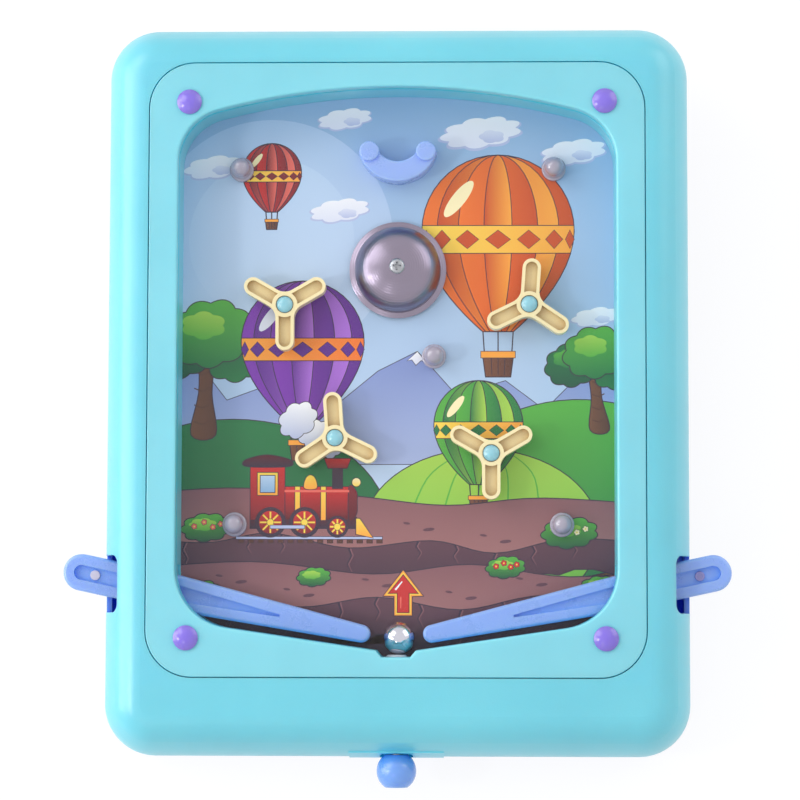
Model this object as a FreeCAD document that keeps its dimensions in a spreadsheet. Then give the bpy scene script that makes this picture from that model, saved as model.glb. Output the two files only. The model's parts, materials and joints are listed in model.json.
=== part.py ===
import FreeCAD, Part
import math
import os

import Sketcher
from FreeCAD import Placement, Rotation, Vector

# Child's tabletop pinball game, in millimetres.
#
# Every piece is modelled in the frame of the cabinet as if it lay flat: X to the right, Y towards
# the far end, Z up from the underside of the lower shell. One common placement then leans the
# whole cabinet back on its taller rear feet and puts the origin under the middle of its outline.
#
# The driving sizes. Plan sizes follow the footprint from outside in, heights hang from the case's top.
DRIVING = {
    # cabinet outline and the stack of its shells
    "case_width": 237.2,
    "case_length": 297.0,
    "case_corner": 21.0,
    "case_height": 40.0,
    "well_depth": 18.0,
    "flank_width": 17.0,
    "flank_tight": 13.0,
    "wall": 2.4,
    "shell_wall": 2.2,
    "shell_floor": 2.0,
    "shell_edge": 5.0,
    "deck": 2.6,
    "slope_angle": 5.0,
    "front_lift": 2.0,
    "seat_gap": 0.3,
    "touch_gap": 0.05,
    "overrun": 6.0,
    "near_slack": 0.02,
    "small_edge": 0.5,
    # bezel, its recess and the clear cover below it
    "deck_side": 18.8,
    "deck_front": 32.3,
    "deck_rear": 17.5,
    "bezel_corner": 18.5,
    "bezel_plate": 3.0,
    "bezel_depth": 5.4,
    "bezel_skirt": 1.8,
    "bezel_gap": 0.35,
    "bezel_lip": 1.0,
    "bezel_seat": 0.8,
    "cover_sheet": 1.2,
    "cover_margin": 1.5,
    "shelf": 2.4,
    # outline of the play well, which the bezel's opening repeats
    "bezel_side": 11.5,
    "bezel_head": 9.6,
    "bezel_foot": 8.0,
    "arch_radius": 283.0,
    "well_upper_corner": 21.5,
    "well_lower_corner": 23.5,
    "notch_rise": 1.45,
    "vee_angle": 8.5,
    "notch_mouth": 8.0,
    "notch_half_width": 5.8,
    "well_wall": 2.0,
    # playfield board and its printed sheet
    "board_thickness": 3.0,
    "board_drop": 2.0,
    "print_sheet": 0.4,
    "board_side": 8.2,
    "board_foot": 4.3,
    "board_head": 4.1,
    "board_corner": 12.0,
    "board_relief": 7.0,
    # flipper levers
    "pivot_outset": 10.7,
    "lever_rest_gap": 2.1,
    "lever_angle": 12.2,
    "lever_swing": 18.0,
    "lever_handle_out": 9.4,
    "lever_tip_side": 14.26,
    "lever_half_width": 7.4,
    "lever_tip_radius": 3.6,
    "lever_lift": 2.0,
    "lever_headroom": 4.0,
    "lever_edge": 1.4,
    "lever_taper_start": 8.0,
    "lever_groove_depth": 2.3,
    "lever_groove_half": 3.0,
    "lever_groove_start": 12.0,
    "lever_wedge_start": 9.0,
    "lever_wedge_half": 3.4,
    "lever_wedge_stop": 33.7,
    "lever_mark": 1.9,
    "lever_mark_reach": 5.5,
    "lever_mark_height": 0.7,
    "pivot_bore": 4.2,
    "pivot_pin": 4.06,
    "pivot_boss": 10.0,
    "pivot_head": 7.6,
    "pivot_head_height": 1.8,
    "pivot_shank": 2.6,
    "pivot_grip": 8.0,
    "slot_front_gap": 0.6,
    "slot_rear_gap": 1.2,
    "slot_roof": 5.0,
    "slot_corner": 3.5,
    "window_gap": 0.9,
    "window_head": 1.4,
    "spring_wire": 0.8,
    "spring_turns": 3.0,
    "spring_pitch": 1.3,
    "spring_play": 0.5,
    "spring_leg": 9.0,
    # plunger
    "plunger_drop": 0.1,
    "ball_diameter": 12.8,
    "ball_side": 0.9,
    "ball_gap": 1.1,
    "rod_diameter": 4.0,
    "rod_running": 0.06,
    "plunger_travel": 16.0,
    "knob_radius": 8.0,
    "knob_half_length": 6.55,
    "knob_socket": 7.0,
    "knob_gap": 0.3,
    "knob_sink": 1.4,
    "knob_seat": 6.8,
    "boss_half_width": 19.0,
    "boss_proud": 0.5,
    "boss_head": 5.5,
    "boss_step": 0.6,
    "boss_root": 5.4,
    "bush_bore_wall": 2.0,
    "bush_flange": 5.8,
    "bush_flange_thick": 1.6,
    "striker_radius": 4.4,
    "striker_length": 5.0,
    "striker_taper": 0.8,
    "striker_bore_depth": 3.0,
    "coil_wire": 0.8,
    "coil_turns": 9.0,
    "coil_play": 0.5,
    "washer_radius": 5.6,
    "washer_thickness": 0.8,
    # bell
    "bell_rim_radius": 19.8,
    "bell_dome_radius": 17.7,
    "bell_crown_radius": 30.0,
    "bell_brim_drop": 0.7,
    "bell_sheet": 0.8,
    "bell_stand": 1.9,
    "bell_headroom": 1.4,
    "bell_screw_hole": 1.7,
    "bell_post_radius": 4.0,
    "bell_post_flange": 7.0,
    "bell_screw_radius": 3.1,
    "bell_screw_head": 1.9,
    "bell_screw_shank": 1.5,
    "bell_screw_grip": 7.0,
    # spinners
    "spinner_reach": 18.6,
    "spinner_arm": 3.72,
    "spinner_rim": 1.3,
    "spinner_hub": 5.2,
    "spinner_bore": 2.1,
    "spinner_pin": 2.04,
    "spinner_lift": 3.4,
    "spinner_height": 7.4,
    "spinner_recess": 2.4,
    "spinner_blend": 6.0,
    "spinner_sink": 1.2,
    "spinner_cap": 3.3,
    "spinner_cap_height": 2.1,
    "spinner_foot": 3.4,
    "spinner_clearance": 0.3,
    # pegs
    "lower_peg_advance": 25.85,
    "peg_base": 5.0,
    "peg_base_height": 2.6,
    "peg_dome": 3.85,
    "peg_height": 11.4,
    "peg_waist": 3.3,
    "spigot_radius": 1.6,
    "spigot_fit": 0.05,
    # catch cup
    "cup_radius": 16.6,
    "cup_inner_radius": 9.6,
    "cup_web": 8.4,
    "cup_post_radius": 4.1,
    "cup_post_offset": 11.55,
    "cup_post_rise": 12.4,
    "cup_height": 10.2,
    "cup_post_height": 11.4,
    "cup_edge": 0.8,
    # screws, bosses and caps
    "cap_inset": 4.6,
    "cap_head": 15.9,
    "cap_foot": 15.5,
    "cap_radius": 5.0,
    "cap_dome": 2.4,
    "cap_rim": 0.6,
    "cap_plug": 3.2,
    "cap_plug_depth": 2.6,
    "screw_shank": 1.4,
    "screw_head": 2.9,
    "screw_head_height": 1.8,
    "screw_length": 12.0,
    "screw_clearance": 0.3,
    "screw_core": 0.04,
    "boss_radius": 4.0,
    "boss_length": 12.0,
    "case_screw_inset": 13.6,
    "case_screw_head": 24.5,
    "case_screw_foot": 18.5,
    "case_screw_middle": 20.0,
    "case_boss_roof": 2.6,
    "counterbore_depth": 4.0,
    "board_screw_rear": 62.0,
    "board_screw_front": 34.0,
    "board_screw_length": 9.0,
    "board_boss": 2.9,
    # board posts and ribs of the lower shell
    "post_radius": 3.2,
    "post_offset": 60.0,
    "rib_thickness": 1.4,
    # feet
    "foot_inset": 32.6,
    "foot_width": 30.0,
    "foot_depth": 24.0,
    "foot_taper": 3.0,
    "foot_wall": 2.4,
    "foot_setback": 14.0,
    "foot_edge": 3.0,
    "foot_peg_radius": 3.0,
    "foot_peg_spread": 9.0,
    "foot_peg_length": 3.0,
    "pad_width": 24.0,
    "pad_depth": 12.0,
    "pad_setback": 16.0,
    "pad_sink": 1.0,
}

doc = FreeCAD.newDocument("pinball_game")


class Size:
    """A number that remembers the expression it came from, so that features can be bound to it."""

    def __init__(self, value, text):
        self.value = float(value)
        self.text = text

    @staticmethod
    def of(other):
        """The given Size, or a plain share or count as one."""
        return other if isinstance(other, Size) else Size(other, repr(float(other)))

    def __add__(self, other):
        other = Size.of(other)
        return Size(self.value + other.value, f"({self.text} + {other.text})")

    def __radd__(self, other):
        return Size.of(other) + self

    def __sub__(self, other):
        other = Size.of(other)
        return Size(self.value - other.value, f"({self.text} - {other.text})")

    def __rsub__(self, other):
        return Size.of(other) - self

    def __mul__(self, other):
        other = Size.of(other)
        return Size(self.value * other.value, f"({self.text} * {other.text})")

    def __rmul__(self, other):
        return Size.of(other) * self

    def __truediv__(self, other):
        other = Size.of(other)
        return Size(self.value / other.value, f"({self.text} / {other.text})")

    def __neg__(self):
        return Size(-self.value, f"(-1 * {self.text})")


def root(size):
    """Square root of a Size."""
    return Size(math.sqrt(size.value), f"sqrt({size.text})")


def sine(angle):
    """Sine of a Size in degrees."""
    return Size(math.sin(math.radians(angle.value)), f"sin({angle.text})")


def cosine(angle):
    """Cosine of a Size in degrees."""
    return Size(math.cos(math.radians(angle.value)), f"cos({angle.text})")


class Sheet:
    """The spreadsheet of driving sizes. Each alias is read as an attribute."""

    def __init__(self, sizes):
        self.sheet = doc.addObject("Spreadsheet::Sheet", "Sizes")
        for row, (alias, value) in enumerate(sizes.items(), start=1):
            self.sheet.set(f"A{row}", alias)
            self.sheet.set(f"B{row}", str(value))
            self.sheet.setAlias(f"B{row}", alias)
        self.known = {alias: Size(value, f"Sizes.{alias}") for alias, value in sizes.items()}
        doc.recompute()

    def __getattr__(self, alias):
        return self.known[alias]


S = Sheet(DRIVING)

# Heights that follow, from the top of the case down to the tray's ribs
BEZEL_BOTTOM = S.case_height - S.bezel_depth
SHELF_TOP = BEZEL_BOTTOM - S.cover_sheet
SHELF_BOTTOM = SHELF_TOP - S.shelf
PRINT_TOP = SHELF_TOP - S.well_depth
BOARD_BOTTOM = PRINT_TOP - S.print_sheet - S.board_thickness
SHELL_HEIGHT = BOARD_BOTTOM + S.board_drop
RIB_HEIGHT = (BOARD_BOTTOM - S.shell_floor) / 2
CASE_SCREW_HOLE = BEZEL_BOTTOM - SHELL_HEIGHT - S.case_boss_roof
BALL_RADIUS = S.ball_diameter / 2
AXIS_HEIGHT = PRINT_TOP + BALL_RADIUS + S.plunger_drop
LEVER_BOTTOM = PRINT_TOP + S.lever_lift
LEVER_TOP = SHELF_BOTTOM - S.lever_headroom
LEVER_HEIGHT = LEVER_TOP - LEVER_BOTTOM
SLOT_TOP = S.case_height - S.slot_roof
WINDOW_TOP = LEVER_TOP + S.window_head
SPINNER_BOTTOM = PRINT_TOP + S.spinner_lift
SPINNER_TOP = SPINNER_BOTTOM + S.spinner_height
BELL_RIM = PRINT_TOP + S.bell_stand
BELL_TOP = SHELF_TOP - S.bell_headroom - S.bell_screw_head
BELL_RISE = BELL_TOP - BELL_RIM

# The flank: its wide arc stands upright on the parting line and meets the tight one
FLANK_RISE = S.case_height - SHELL_HEIGHT
FLANK_WIDE = (S.flank_width * S.flank_width + FLANK_RISE * FLANK_RISE - 2 * FLANK_RISE * S.flank_tight) / (
    2 * (S.flank_width - S.flank_tight))

# Plan sizes that follow, from the outline of the case inwards
HALF_WIDTH = S.case_width / 2
HALF_LENGTH = S.case_length / 2
BEZEL_HALF_WIDTH = HALF_WIDTH - S.deck_side
BEZEL_FRONT = HALF_LENGTH - S.deck_front
BEZEL_REAR = HALF_LENGTH - S.deck_rear
WELL_HALF_WIDTH = BEZEL_HALF_WIDTH - S.bezel_side
WELL_CROWN = BEZEL_REAR - S.bezel_head
NOTCH_DEPTH = BEZEL_FRONT - S.bezel_foot
VEE_HEIGHT = NOTCH_DEPTH - S.notch_rise
BOARD_HALF_WIDTH = WELL_HALF_WIDTH + S.board_side
BOARD_FRONT = NOTCH_DEPTH + S.board_foot
BOARD_REAR = WELL_CROWN + S.board_head
CAP_OFFSET = WELL_HALF_WIDTH - S.cap_inset
CAP_REAR = BEZEL_REAR - S.cap_head
CAP_FRONT = BEZEL_FRONT - S.cap_foot
CASE_SCREW_OFFSET = HALF_WIDTH - S.case_screw_inset
CASE_SCREW_REAR = HALF_LENGTH - S.case_screw_head
CASE_SCREW_FRONT = HALF_LENGTH - S.case_screw_foot
FOOT_OFFSET = HALF_WIDTH - S.foot_inset

# Levers at rest: their tips end beside the notch and lie over the vee by the rest gap
PIVOT_OFFSET = WELL_HALF_WIDTH + S.pivot_outset
LEVER_SPAN = PIVOT_OFFSET - S.lever_tip_side
LEVER_FALL = LEVER_SPAN * sine(S.lever_angle) / cosine(S.lever_angle)
LEVER_TIP_REACH = LEVER_SPAN / cosine(S.lever_angle)
LEVER_WEDGE_REACH = LEVER_TIP_REACH - S.lever_wedge_stop
LEVER_HANDLE_REACH = HALF_WIDTH - PIVOT_OFFSET + S.lever_handle_out
VEE_AT_TIP = VEE_HEIGHT - S.lever_tip_side * sine(S.vee_angle) / cosine(S.vee_angle)
PIVOT_FRONT = VEE_AT_TIP - LEVER_FALL - S.lever_tip_radius - S.lever_rest_gap

# The ball in the notch, then the striker, the washer and the knob on the plunger's axis
BALL_FRONT = NOTCH_DEPTH - BALL_RADIUS - S.ball_gap
STRIKER_FACE = BALL_FRONT + BALL_RADIUS + S.seat_gap
STRIKER_BACK = STRIKER_FACE + S.striker_length
WASHER_BACK = STRIKER_BACK + S.washer_thickness
FRONT_FACE = HALF_LENGTH - S.knob_sink
KNOB_NEAR = FRONT_FACE + S.knob_gap
KNOB_CENTRE = KNOB_NEAR + S.knob_half_length
KNOB_FAR = KNOB_CENTRE + S.knob_half_length


def lever_aside(distance, angle):
    """How far a lever's edge lies from its pivot's line, at a distance along and at an angle."""
    return (S.lever_half_width + distance * sine(angle)) / cosine(angle)


# How far the lever slots and the inner windows reach to both sides of the pivots
PRESSED_ANGLE = S.lever_swing - S.lever_angle
TO_FLANK = HALF_WIDTH - PIVOT_OFFSET
TO_WELL = PIVOT_OFFSET - WELL_HALF_WIDTH
CORNER_BITE = S.well_lower_corner / 2
SLOT_FRONT = lever_aside(TO_FLANK, PRESSED_ANGLE) + S.slot_front_gap
SLOT_REAR = lever_aside(TO_FLANK, S.lever_angle) + S.slot_rear_gap
WINDOW_FRONT = lever_aside(TO_WELL + CORNER_BITE, S.lever_angle) + S.window_gap
WINDOW_REAR = lever_aside(TO_WELL, PRESSED_ANGLE) + S.window_gap

# Arms of a spinner, and how much of a round head's height is its straight edge
ARMS = 3
HEAD_EDGE_SHARE = 0.35

# Rows of board posts and cross ribs, as shares of the case's half length
POST_ROW_SHARES = (-2 / 3, -2 / 9, 2 / 9, 2 / 3)

# Places on the playfield: across as shares of the well's half width, along as shares of its crown
SPINNER_PLACE_SHARES = ((-0.518, 0.283), (0.607, 0.284), (-0.285, -0.164), (0.432, -0.215))
SPINNER_FIRST_ARM = (30.0, 86.0, 94.0, 30.0)
PEG_PLACE_SHARES = ((-0.728, 0.750), (0.723, 0.751), (0.168, 0.115))
LOWER_PEG_SHARES = (-0.751, 0.758)
BELL_SHARE = 0.407
CUP_SHARE = 0.699
BELL_FRONT = BELL_SHARE * WELL_CROWN
CUP_FRONT = CUP_SHARE * WELL_CROWN
CUP_INNER_FRONT = CUP_FRONT + S.cup_web
CUP_POST_Y = CUP_FRONT + S.cup_post_rise

# The common placement: the cabinet leans back by its slope, and the origin lies under the middle
SLOPE = math.radians(S.slope_angle.value)
LIFT = HALF_LENGTH.value * math.sin(SLOPE) + S.front_lift.value


def leaned(y, z):
    """Where a point of the flat cabinet lies, before the outline is centred."""
    return (y * math.cos(SLOPE) - z * math.sin(SLOPE), y * math.sin(SLOPE) + z * math.cos(SLOPE) + LIFT)


def common_placement():
    """Lean about X, then move so that the middle of the outline lies over the origin."""
    knob_flat = math.sqrt(S.knob_radius.value ** 2 - S.knob_half_length.value ** 2)
    nearest = leaned(-KNOB_FAR.value, AXIS_HEIGHT.value + knob_flat)[0]
    edge = S.shell_edge.value
    bend = (HALF_LENGTH.value - edge, edge)
    farthest = leaned(*bend)[0] + edge
    shift = -(nearest + farthest) / 2
    return Placement(Vector(0, shift, LIFT), Rotation(Vector(1, 0, 0), S.slope_angle.value))


CABINET = common_placement()


# Helpers for bodies, sketches and features

pieces = []
HALF_TURN_SLACK = 1e-6


def bind(target, path, size):
    """Drive a property or a named constraint by the sheet."""
    target.setExpression(path, size.text)


def new_body(label):
    """A body in the common placement, kept as a piece under its label."""
    body = doc.addObject("PartDesign::Body", label)
    body.Label = label
    body.Placement = CABINET
    pieces.append(body)
    return body


def plane(body, role):
    """One of the body's own origin planes, such as XY_Plane."""
    return next(f for f in body.Origin.OriginFeatures if f.Role == role)


def new_sketch(body, name, role="XY_Plane", height=None):
    """A sketch on an origin plane of the body, raised along the plane's normal by height."""
    sketch = body.newObject("Sketcher::SketchObject", f"{body.Label}_{name}")
    sketch.AttachmentSupport = (plane(body, role), "")
    sketch.MapMode = "FlatFace"
    if height is not None:
        bind(sketch, "AttachmentOffset.Base.z", height)
        base = sketch.AttachmentOffset
        base.Base.z = height.value
        sketch.AttachmentOffset = base
    return sketch


def fix_coordinate(sketch, edge, end, upright, size):
    """Hold one coordinate of an edge's end or centre, its height where upright is true."""
    size = Size.of(size)
    if size.value == 0:
        sketch.addConstraint(Sketcher.Constraint("PointOnObject", edge, end, -1 if upright else -2))
    else:
        kind = "DistanceY" if upright else "DistanceX"
        index = sketch.addConstraint(Sketcher.Constraint(kind, -1, 1, edge, end, size.value))
        bind(sketch, f"Constraints[{index}]", size)


def fix_point(sketch, edge, end, spot):
    """Hold one end of a sketch edge, or a circle's centre, at a spot given in sizes."""
    fix_coordinate(sketch, edge, end, False, spot[0])
    fix_coordinate(sketch, edge, end, True, spot[1])


def fix_arc(sketch, edge, first, last, radius):
    """Hold an arc between fixed ends: by its centre if it is half a turn, by its radius if not."""
    wide, high = Size.of(last[0]) - first[0], Size.of(last[1]) - first[1]
    if near(math.hypot(wide.value, high.value), 2 * radius.value, HALF_TURN_SLACK):
        level = abs(wide.value) > abs(high.value)
        middle = (Size.of(first[level]) + last[level]) / 2
        fix_coordinate(sketch, edge, 3, level, middle)
    else:
        index = sketch.addConstraint(Sketcher.Constraint("Radius", edge, radius.value))
        bind(sketch, f"Constraints[{index}]", radius)


def add_circle(sketch, x, y, radius):
    """A circle whose centre and radius follow the sheet."""
    x, y = Size.of(x), Size.of(y)
    edge = sketch.addGeometry(Part.Circle(Vector(x.value, y.value, 0), Vector(0, 0, 1), radius.value))
    fix_point(sketch, edge, 3, (x, y))
    index = sketch.addConstraint(Sketcher.Constraint("Radius", edge, radius.value))
    bind(sketch, f"Constraints[{index}]", radius)
    return edge


def arc_between(start, end, radius, side):
    """The arc of less than half a turn from start to end. side is +1 where it bulges to the right."""
    chord = end - start
    rise = math.sqrt(max(radius ** 2 - (chord.Length / 2) ** 2, 0.0))
    across = Vector(-chord.y, chord.x, 0).normalize()
    centre = start + chord * 0.5 + across * rise * side
    circle = Part.Circle(centre, Vector(0, 0, 1), radius)
    first = math.atan2(start.y - centre.y, start.x - centre.x)
    last = math.atan2(end.y - centre.y, end.x - centre.x)
    return (Part.ArcOfCircle(circle, first, last), 1, 2) if side > 0 else (
        Part.ArcOfCircle(circle, last, first), 2, 1)


def add_outline(sketch, spots, arcs=None):
    """A closed chain through spots. arcs gives (radius, side) for the edge after a spot."""
    arcs = arcs or {}
    ends = []
    for index, first in enumerate(spots):
        last = spots[(index + 1) % len(spots)]
        start = Vector(Size.of(first[0]).value, Size.of(first[1]).value, 0)
        end = Vector(Size.of(last[0]).value, Size.of(last[1]).value, 0)
        if index in arcs:
            radius, side = arcs[index]
            geometry, head, tail = arc_between(start, end, radius.value, side)
            edge = sketch.addGeometry(geometry)
            fix_arc(sketch, edge, first, last, radius)
        else:
            edge = sketch.addGeometry(Part.LineSegment(start, end))
            head, tail = 1, 2
        ends.append((edge, head, tail))
        fix_point(sketch, edge, head, first)
    for (edge, _, tail), (follower, head, _) in zip(ends, ends[1:] + ends[:1]):
        sketch.addConstraint(Sketcher.Constraint("Coincident", edge, tail, follower, head))


def add_box(sketch, left, right, low, high):
    """A rectangle from its four sides."""
    add_outline(sketch, [(left, low), (right, low), (right, high), (left, high)])


def add_rounded_box(sketch, left, right, low, high, corner):
    """A rectangle with four equal round corners."""
    spots = [
        (left + corner, low), (right - corner, low), (right, low + corner), (right, high - corner),
        (right - corner, high), (left + corner, high), (left, high - corner), (left, low + corner),
    ]
    add_outline(sketch, spots, {index: (corner, 1) for index in (1, 3, 5, 7)})


def pad(body, sketch, length, name, downwards=False):
    """A pad of the sketch by a length that follows the sheet."""
    feature = body.newObject("PartDesign::Pad", f"{body.Label}_{name}")
    feature.Profile = sketch
    feature.Length = length.value
    bind(feature, "Length", length)
    feature.Reversed = downwards
    sketch.Visibility = False
    return feature


def pocket(body, sketch, length, name, upwards=False):
    """A pocket, downwards from the sketch unless upwards, that has to take material away."""
    doc.recompute()
    before = body.Tip.Shape.Volume
    feature = body.newObject("PartDesign::Pocket", f"{body.Label}_{name}")
    feature.Profile = sketch
    feature.Length = length.value
    bind(feature, "Length", length)
    feature.Reversed = upwards
    sketch.Visibility = False
    doc.recompute()
    if not feature.Shape.Volume < before:
        raise ValueError(f"{feature.Label} cuts nothing")
    return feature


def revolve(body, sketch, name):
    """A full turn of a profile about the sketch's own vertical axis."""
    feature = body.newObject("PartDesign::Revolution", f"{body.Label}_{name}")
    feature.Profile = sketch
    feature.ReferenceAxis = (sketch, ["V_Axis"])
    feature.Angle = 360.0
    sketch.Visibility = False


def edges_at(shape, test):
    """Names of the edges whose every vertex passes the test."""
    return [f"Edge{index}" for index, edge in enumerate(shape.Edges, start=1)
            if all(test(vertex.Point) for vertex in edge.Vertexes) and test(edge.CenterOfMass)]


def round_edges(body, radius, name, test):
    """A fillet on the edges of the tip that pass a test in the flat cabinet."""
    doc.recompute()
    base = body.Tip
    feature = body.newObject("PartDesign::Fillet", f"{body.Label}_{name}")
    feature.Base = (base, edges_at(base.Shape, test))
    feature.Radius = radius.value
    bind(feature, "Radius", radius)


def near(value, target, slack=S.near_slack.value):
    """Whether a coordinate is at a target."""
    return abs(value - target) < slack


def turned_profile(label, spots, arcs, place):
    """A body turned from a half profile (radius, height) about an upright axis at a place."""
    body = new_body(label)
    sketch = new_sketch(body, "profile", "XZ_Plane")
    add_outline(sketch, spots, arcs)
    revolve(body, sketch, "turned")
    x, y = Size.of(place[0]).value, Size.of(place[1]).value
    body.Placement = CABINET.multiply(Placement(Vector(x, y, 0), Rotation()))


# Shells of the cabinet


def flank_spots(inset, reach):
    """Half section of the round flank, inset by a wall, from the flat deck's edge outwards.

    Two tangent arcs: a wide one that rises from the parting line and a tight one into the deck."""
    inner_x, inner_y = -(HALF_WIDTH - S.flank_width), S.case_height - S.flank_tight
    outer_x, outer_y = -(HALF_WIDTH - FLANK_WIDE), SHELL_HEIGHT
    scale = (S.flank_tight - inset) / (FLANK_WIDE - S.flank_tight)
    meet = (inner_x + (inner_x - outer_x) * scale, inner_y + (inner_y - outer_y) * scale)
    rise = root((S.flank_tight - inset) * (S.flank_tight - inset) - reach * reach)
    spots = [
        (inner_x - reach, SHELL_HEIGHT),
        (-(HALF_WIDTH - inset), SHELL_HEIGHT),
        meet,
        (inner_x - reach, inner_y + rise),
    ]
    return spots, {1: (FLANK_WIDE - inset, -1), 2: (S.flank_tight - inset, -1)}


def flank_y(height, radius):
    """Where an arc about the wide arc's centre lies over the front edge, at a height."""
    above = height - SHELL_HEIGHT
    return FLANK_WIDE - HALF_LENGTH - root(radius * radius - above * above)


def flank_path_spots(reach):
    """The round rectangle that the flank follows, from the middle of its left side."""
    x = HALF_WIDTH - S.flank_width + reach
    y = HALF_LENGTH - S.flank_width + reach
    corner = S.case_corner - S.flank_width + reach
    spots = [
        (-x, 0), (-x, corner - y), (corner - x, -y), (x - corner, -y), (x, corner - y),
        (x, y - corner), (x - corner, y), (corner - x, y), (-x, y - corner),
    ]
    return spots, {index: (corner, 1) for index in (1, 3, 5, 7)}


def sweep_flank(body, kind, name, inset, reach):
    """The flank's section swept round the cabinet, added to or taken from the body."""
    path = new_sketch(body, f"{name}_path", "XY_Plane", SHELL_HEIGHT)
    add_outline(path, *flank_path_spots(reach))
    section = new_sketch(body, f"{name}_section", "XZ_Plane")
    add_outline(section, *flank_spots(inset, reach))
    feature = body.newObject(kind, f"{body.Label}_{name}")
    feature.Profile = section
    feature.Spine = path
    path.Visibility = False
    section.Visibility = False


def well_spots(grow):
    """The play well's outline, grown outwards by a wall: arch, corners, sides, vee and notch."""
    arch_y = WELL_CROWN - S.arch_radius
    upper_x = WELL_HALF_WIDTH - S.well_upper_corner
    span = S.arch_radius - S.well_upper_corner
    upper_y = arch_y + root(span * span - upper_x * upper_x)
    scale = (S.arch_radius + grow) / span
    arch_end = (upper_x * scale, arch_y + (upper_y - arch_y) * scale)
    tilt = S.vee_angle
    lower_x = WELL_HALF_WIDTH - S.well_lower_corner
    lower_y = lower_x * sine(tilt) / cosine(tilt) + S.well_lower_corner / cosine(tilt) - VEE_HEIGHT
    lower = S.well_lower_corner + grow
    vee_start = (lower_x + lower * sine(tilt), lower_y - lower * cosine(tilt))
    mouth = S.notch_mouth + grow
    shoulder = (mouth, mouth * sine(tilt) / cosine(tilt) - VEE_HEIGHT - grow / cosine(tilt))
    side = WELL_HALF_WIDTH + grow
    right = [
        (S.notch_half_width + grow, -(NOTCH_DEPTH + grow)), shoulder, vee_start,
        (side, lower_y), (side, upper_y), arch_end,
    ]
    left = [(-x, y) for x, y in reversed(right)]
    corner, bottom = (S.well_upper_corner + grow, 1), (lower, 1)
    return right + left, {2: bottom, 4: corner, 5: (S.arch_radius + grow, 1), 6: corner, 8: bottom}


def screw_places():
    """Where the four bezel screws sit, below the round caps."""
    return [(side * CAP_OFFSET, y) for side in (-1, 1) for y in (-CAP_FRONT, CAP_REAR)]


def case_screw_places():
    """Where the six screws that hold the shells together sit."""
    rows = (-CASE_SCREW_FRONT, -S.case_screw_middle, CASE_SCREW_REAR)
    return [(side * CASE_SCREW_OFFSET, y) for side in (-1, 1) for y in rows]


def board_screw_places():
    """Where the four screws that hold the playfield sit: their bosses bite into the well's wall."""
    offset = WELL_HALF_WIDTH + S.well_wall + S.board_boss - S.seat_gap
    return [(side * offset, y) for side in (-1, 1)
            for y in (-S.board_screw_front, S.board_screw_rear)]


def add_circles(sketch, places, radius):
    """Equal circles at several places."""
    for x, y in places:
        add_circle(sketch, x, y, radius)


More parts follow.
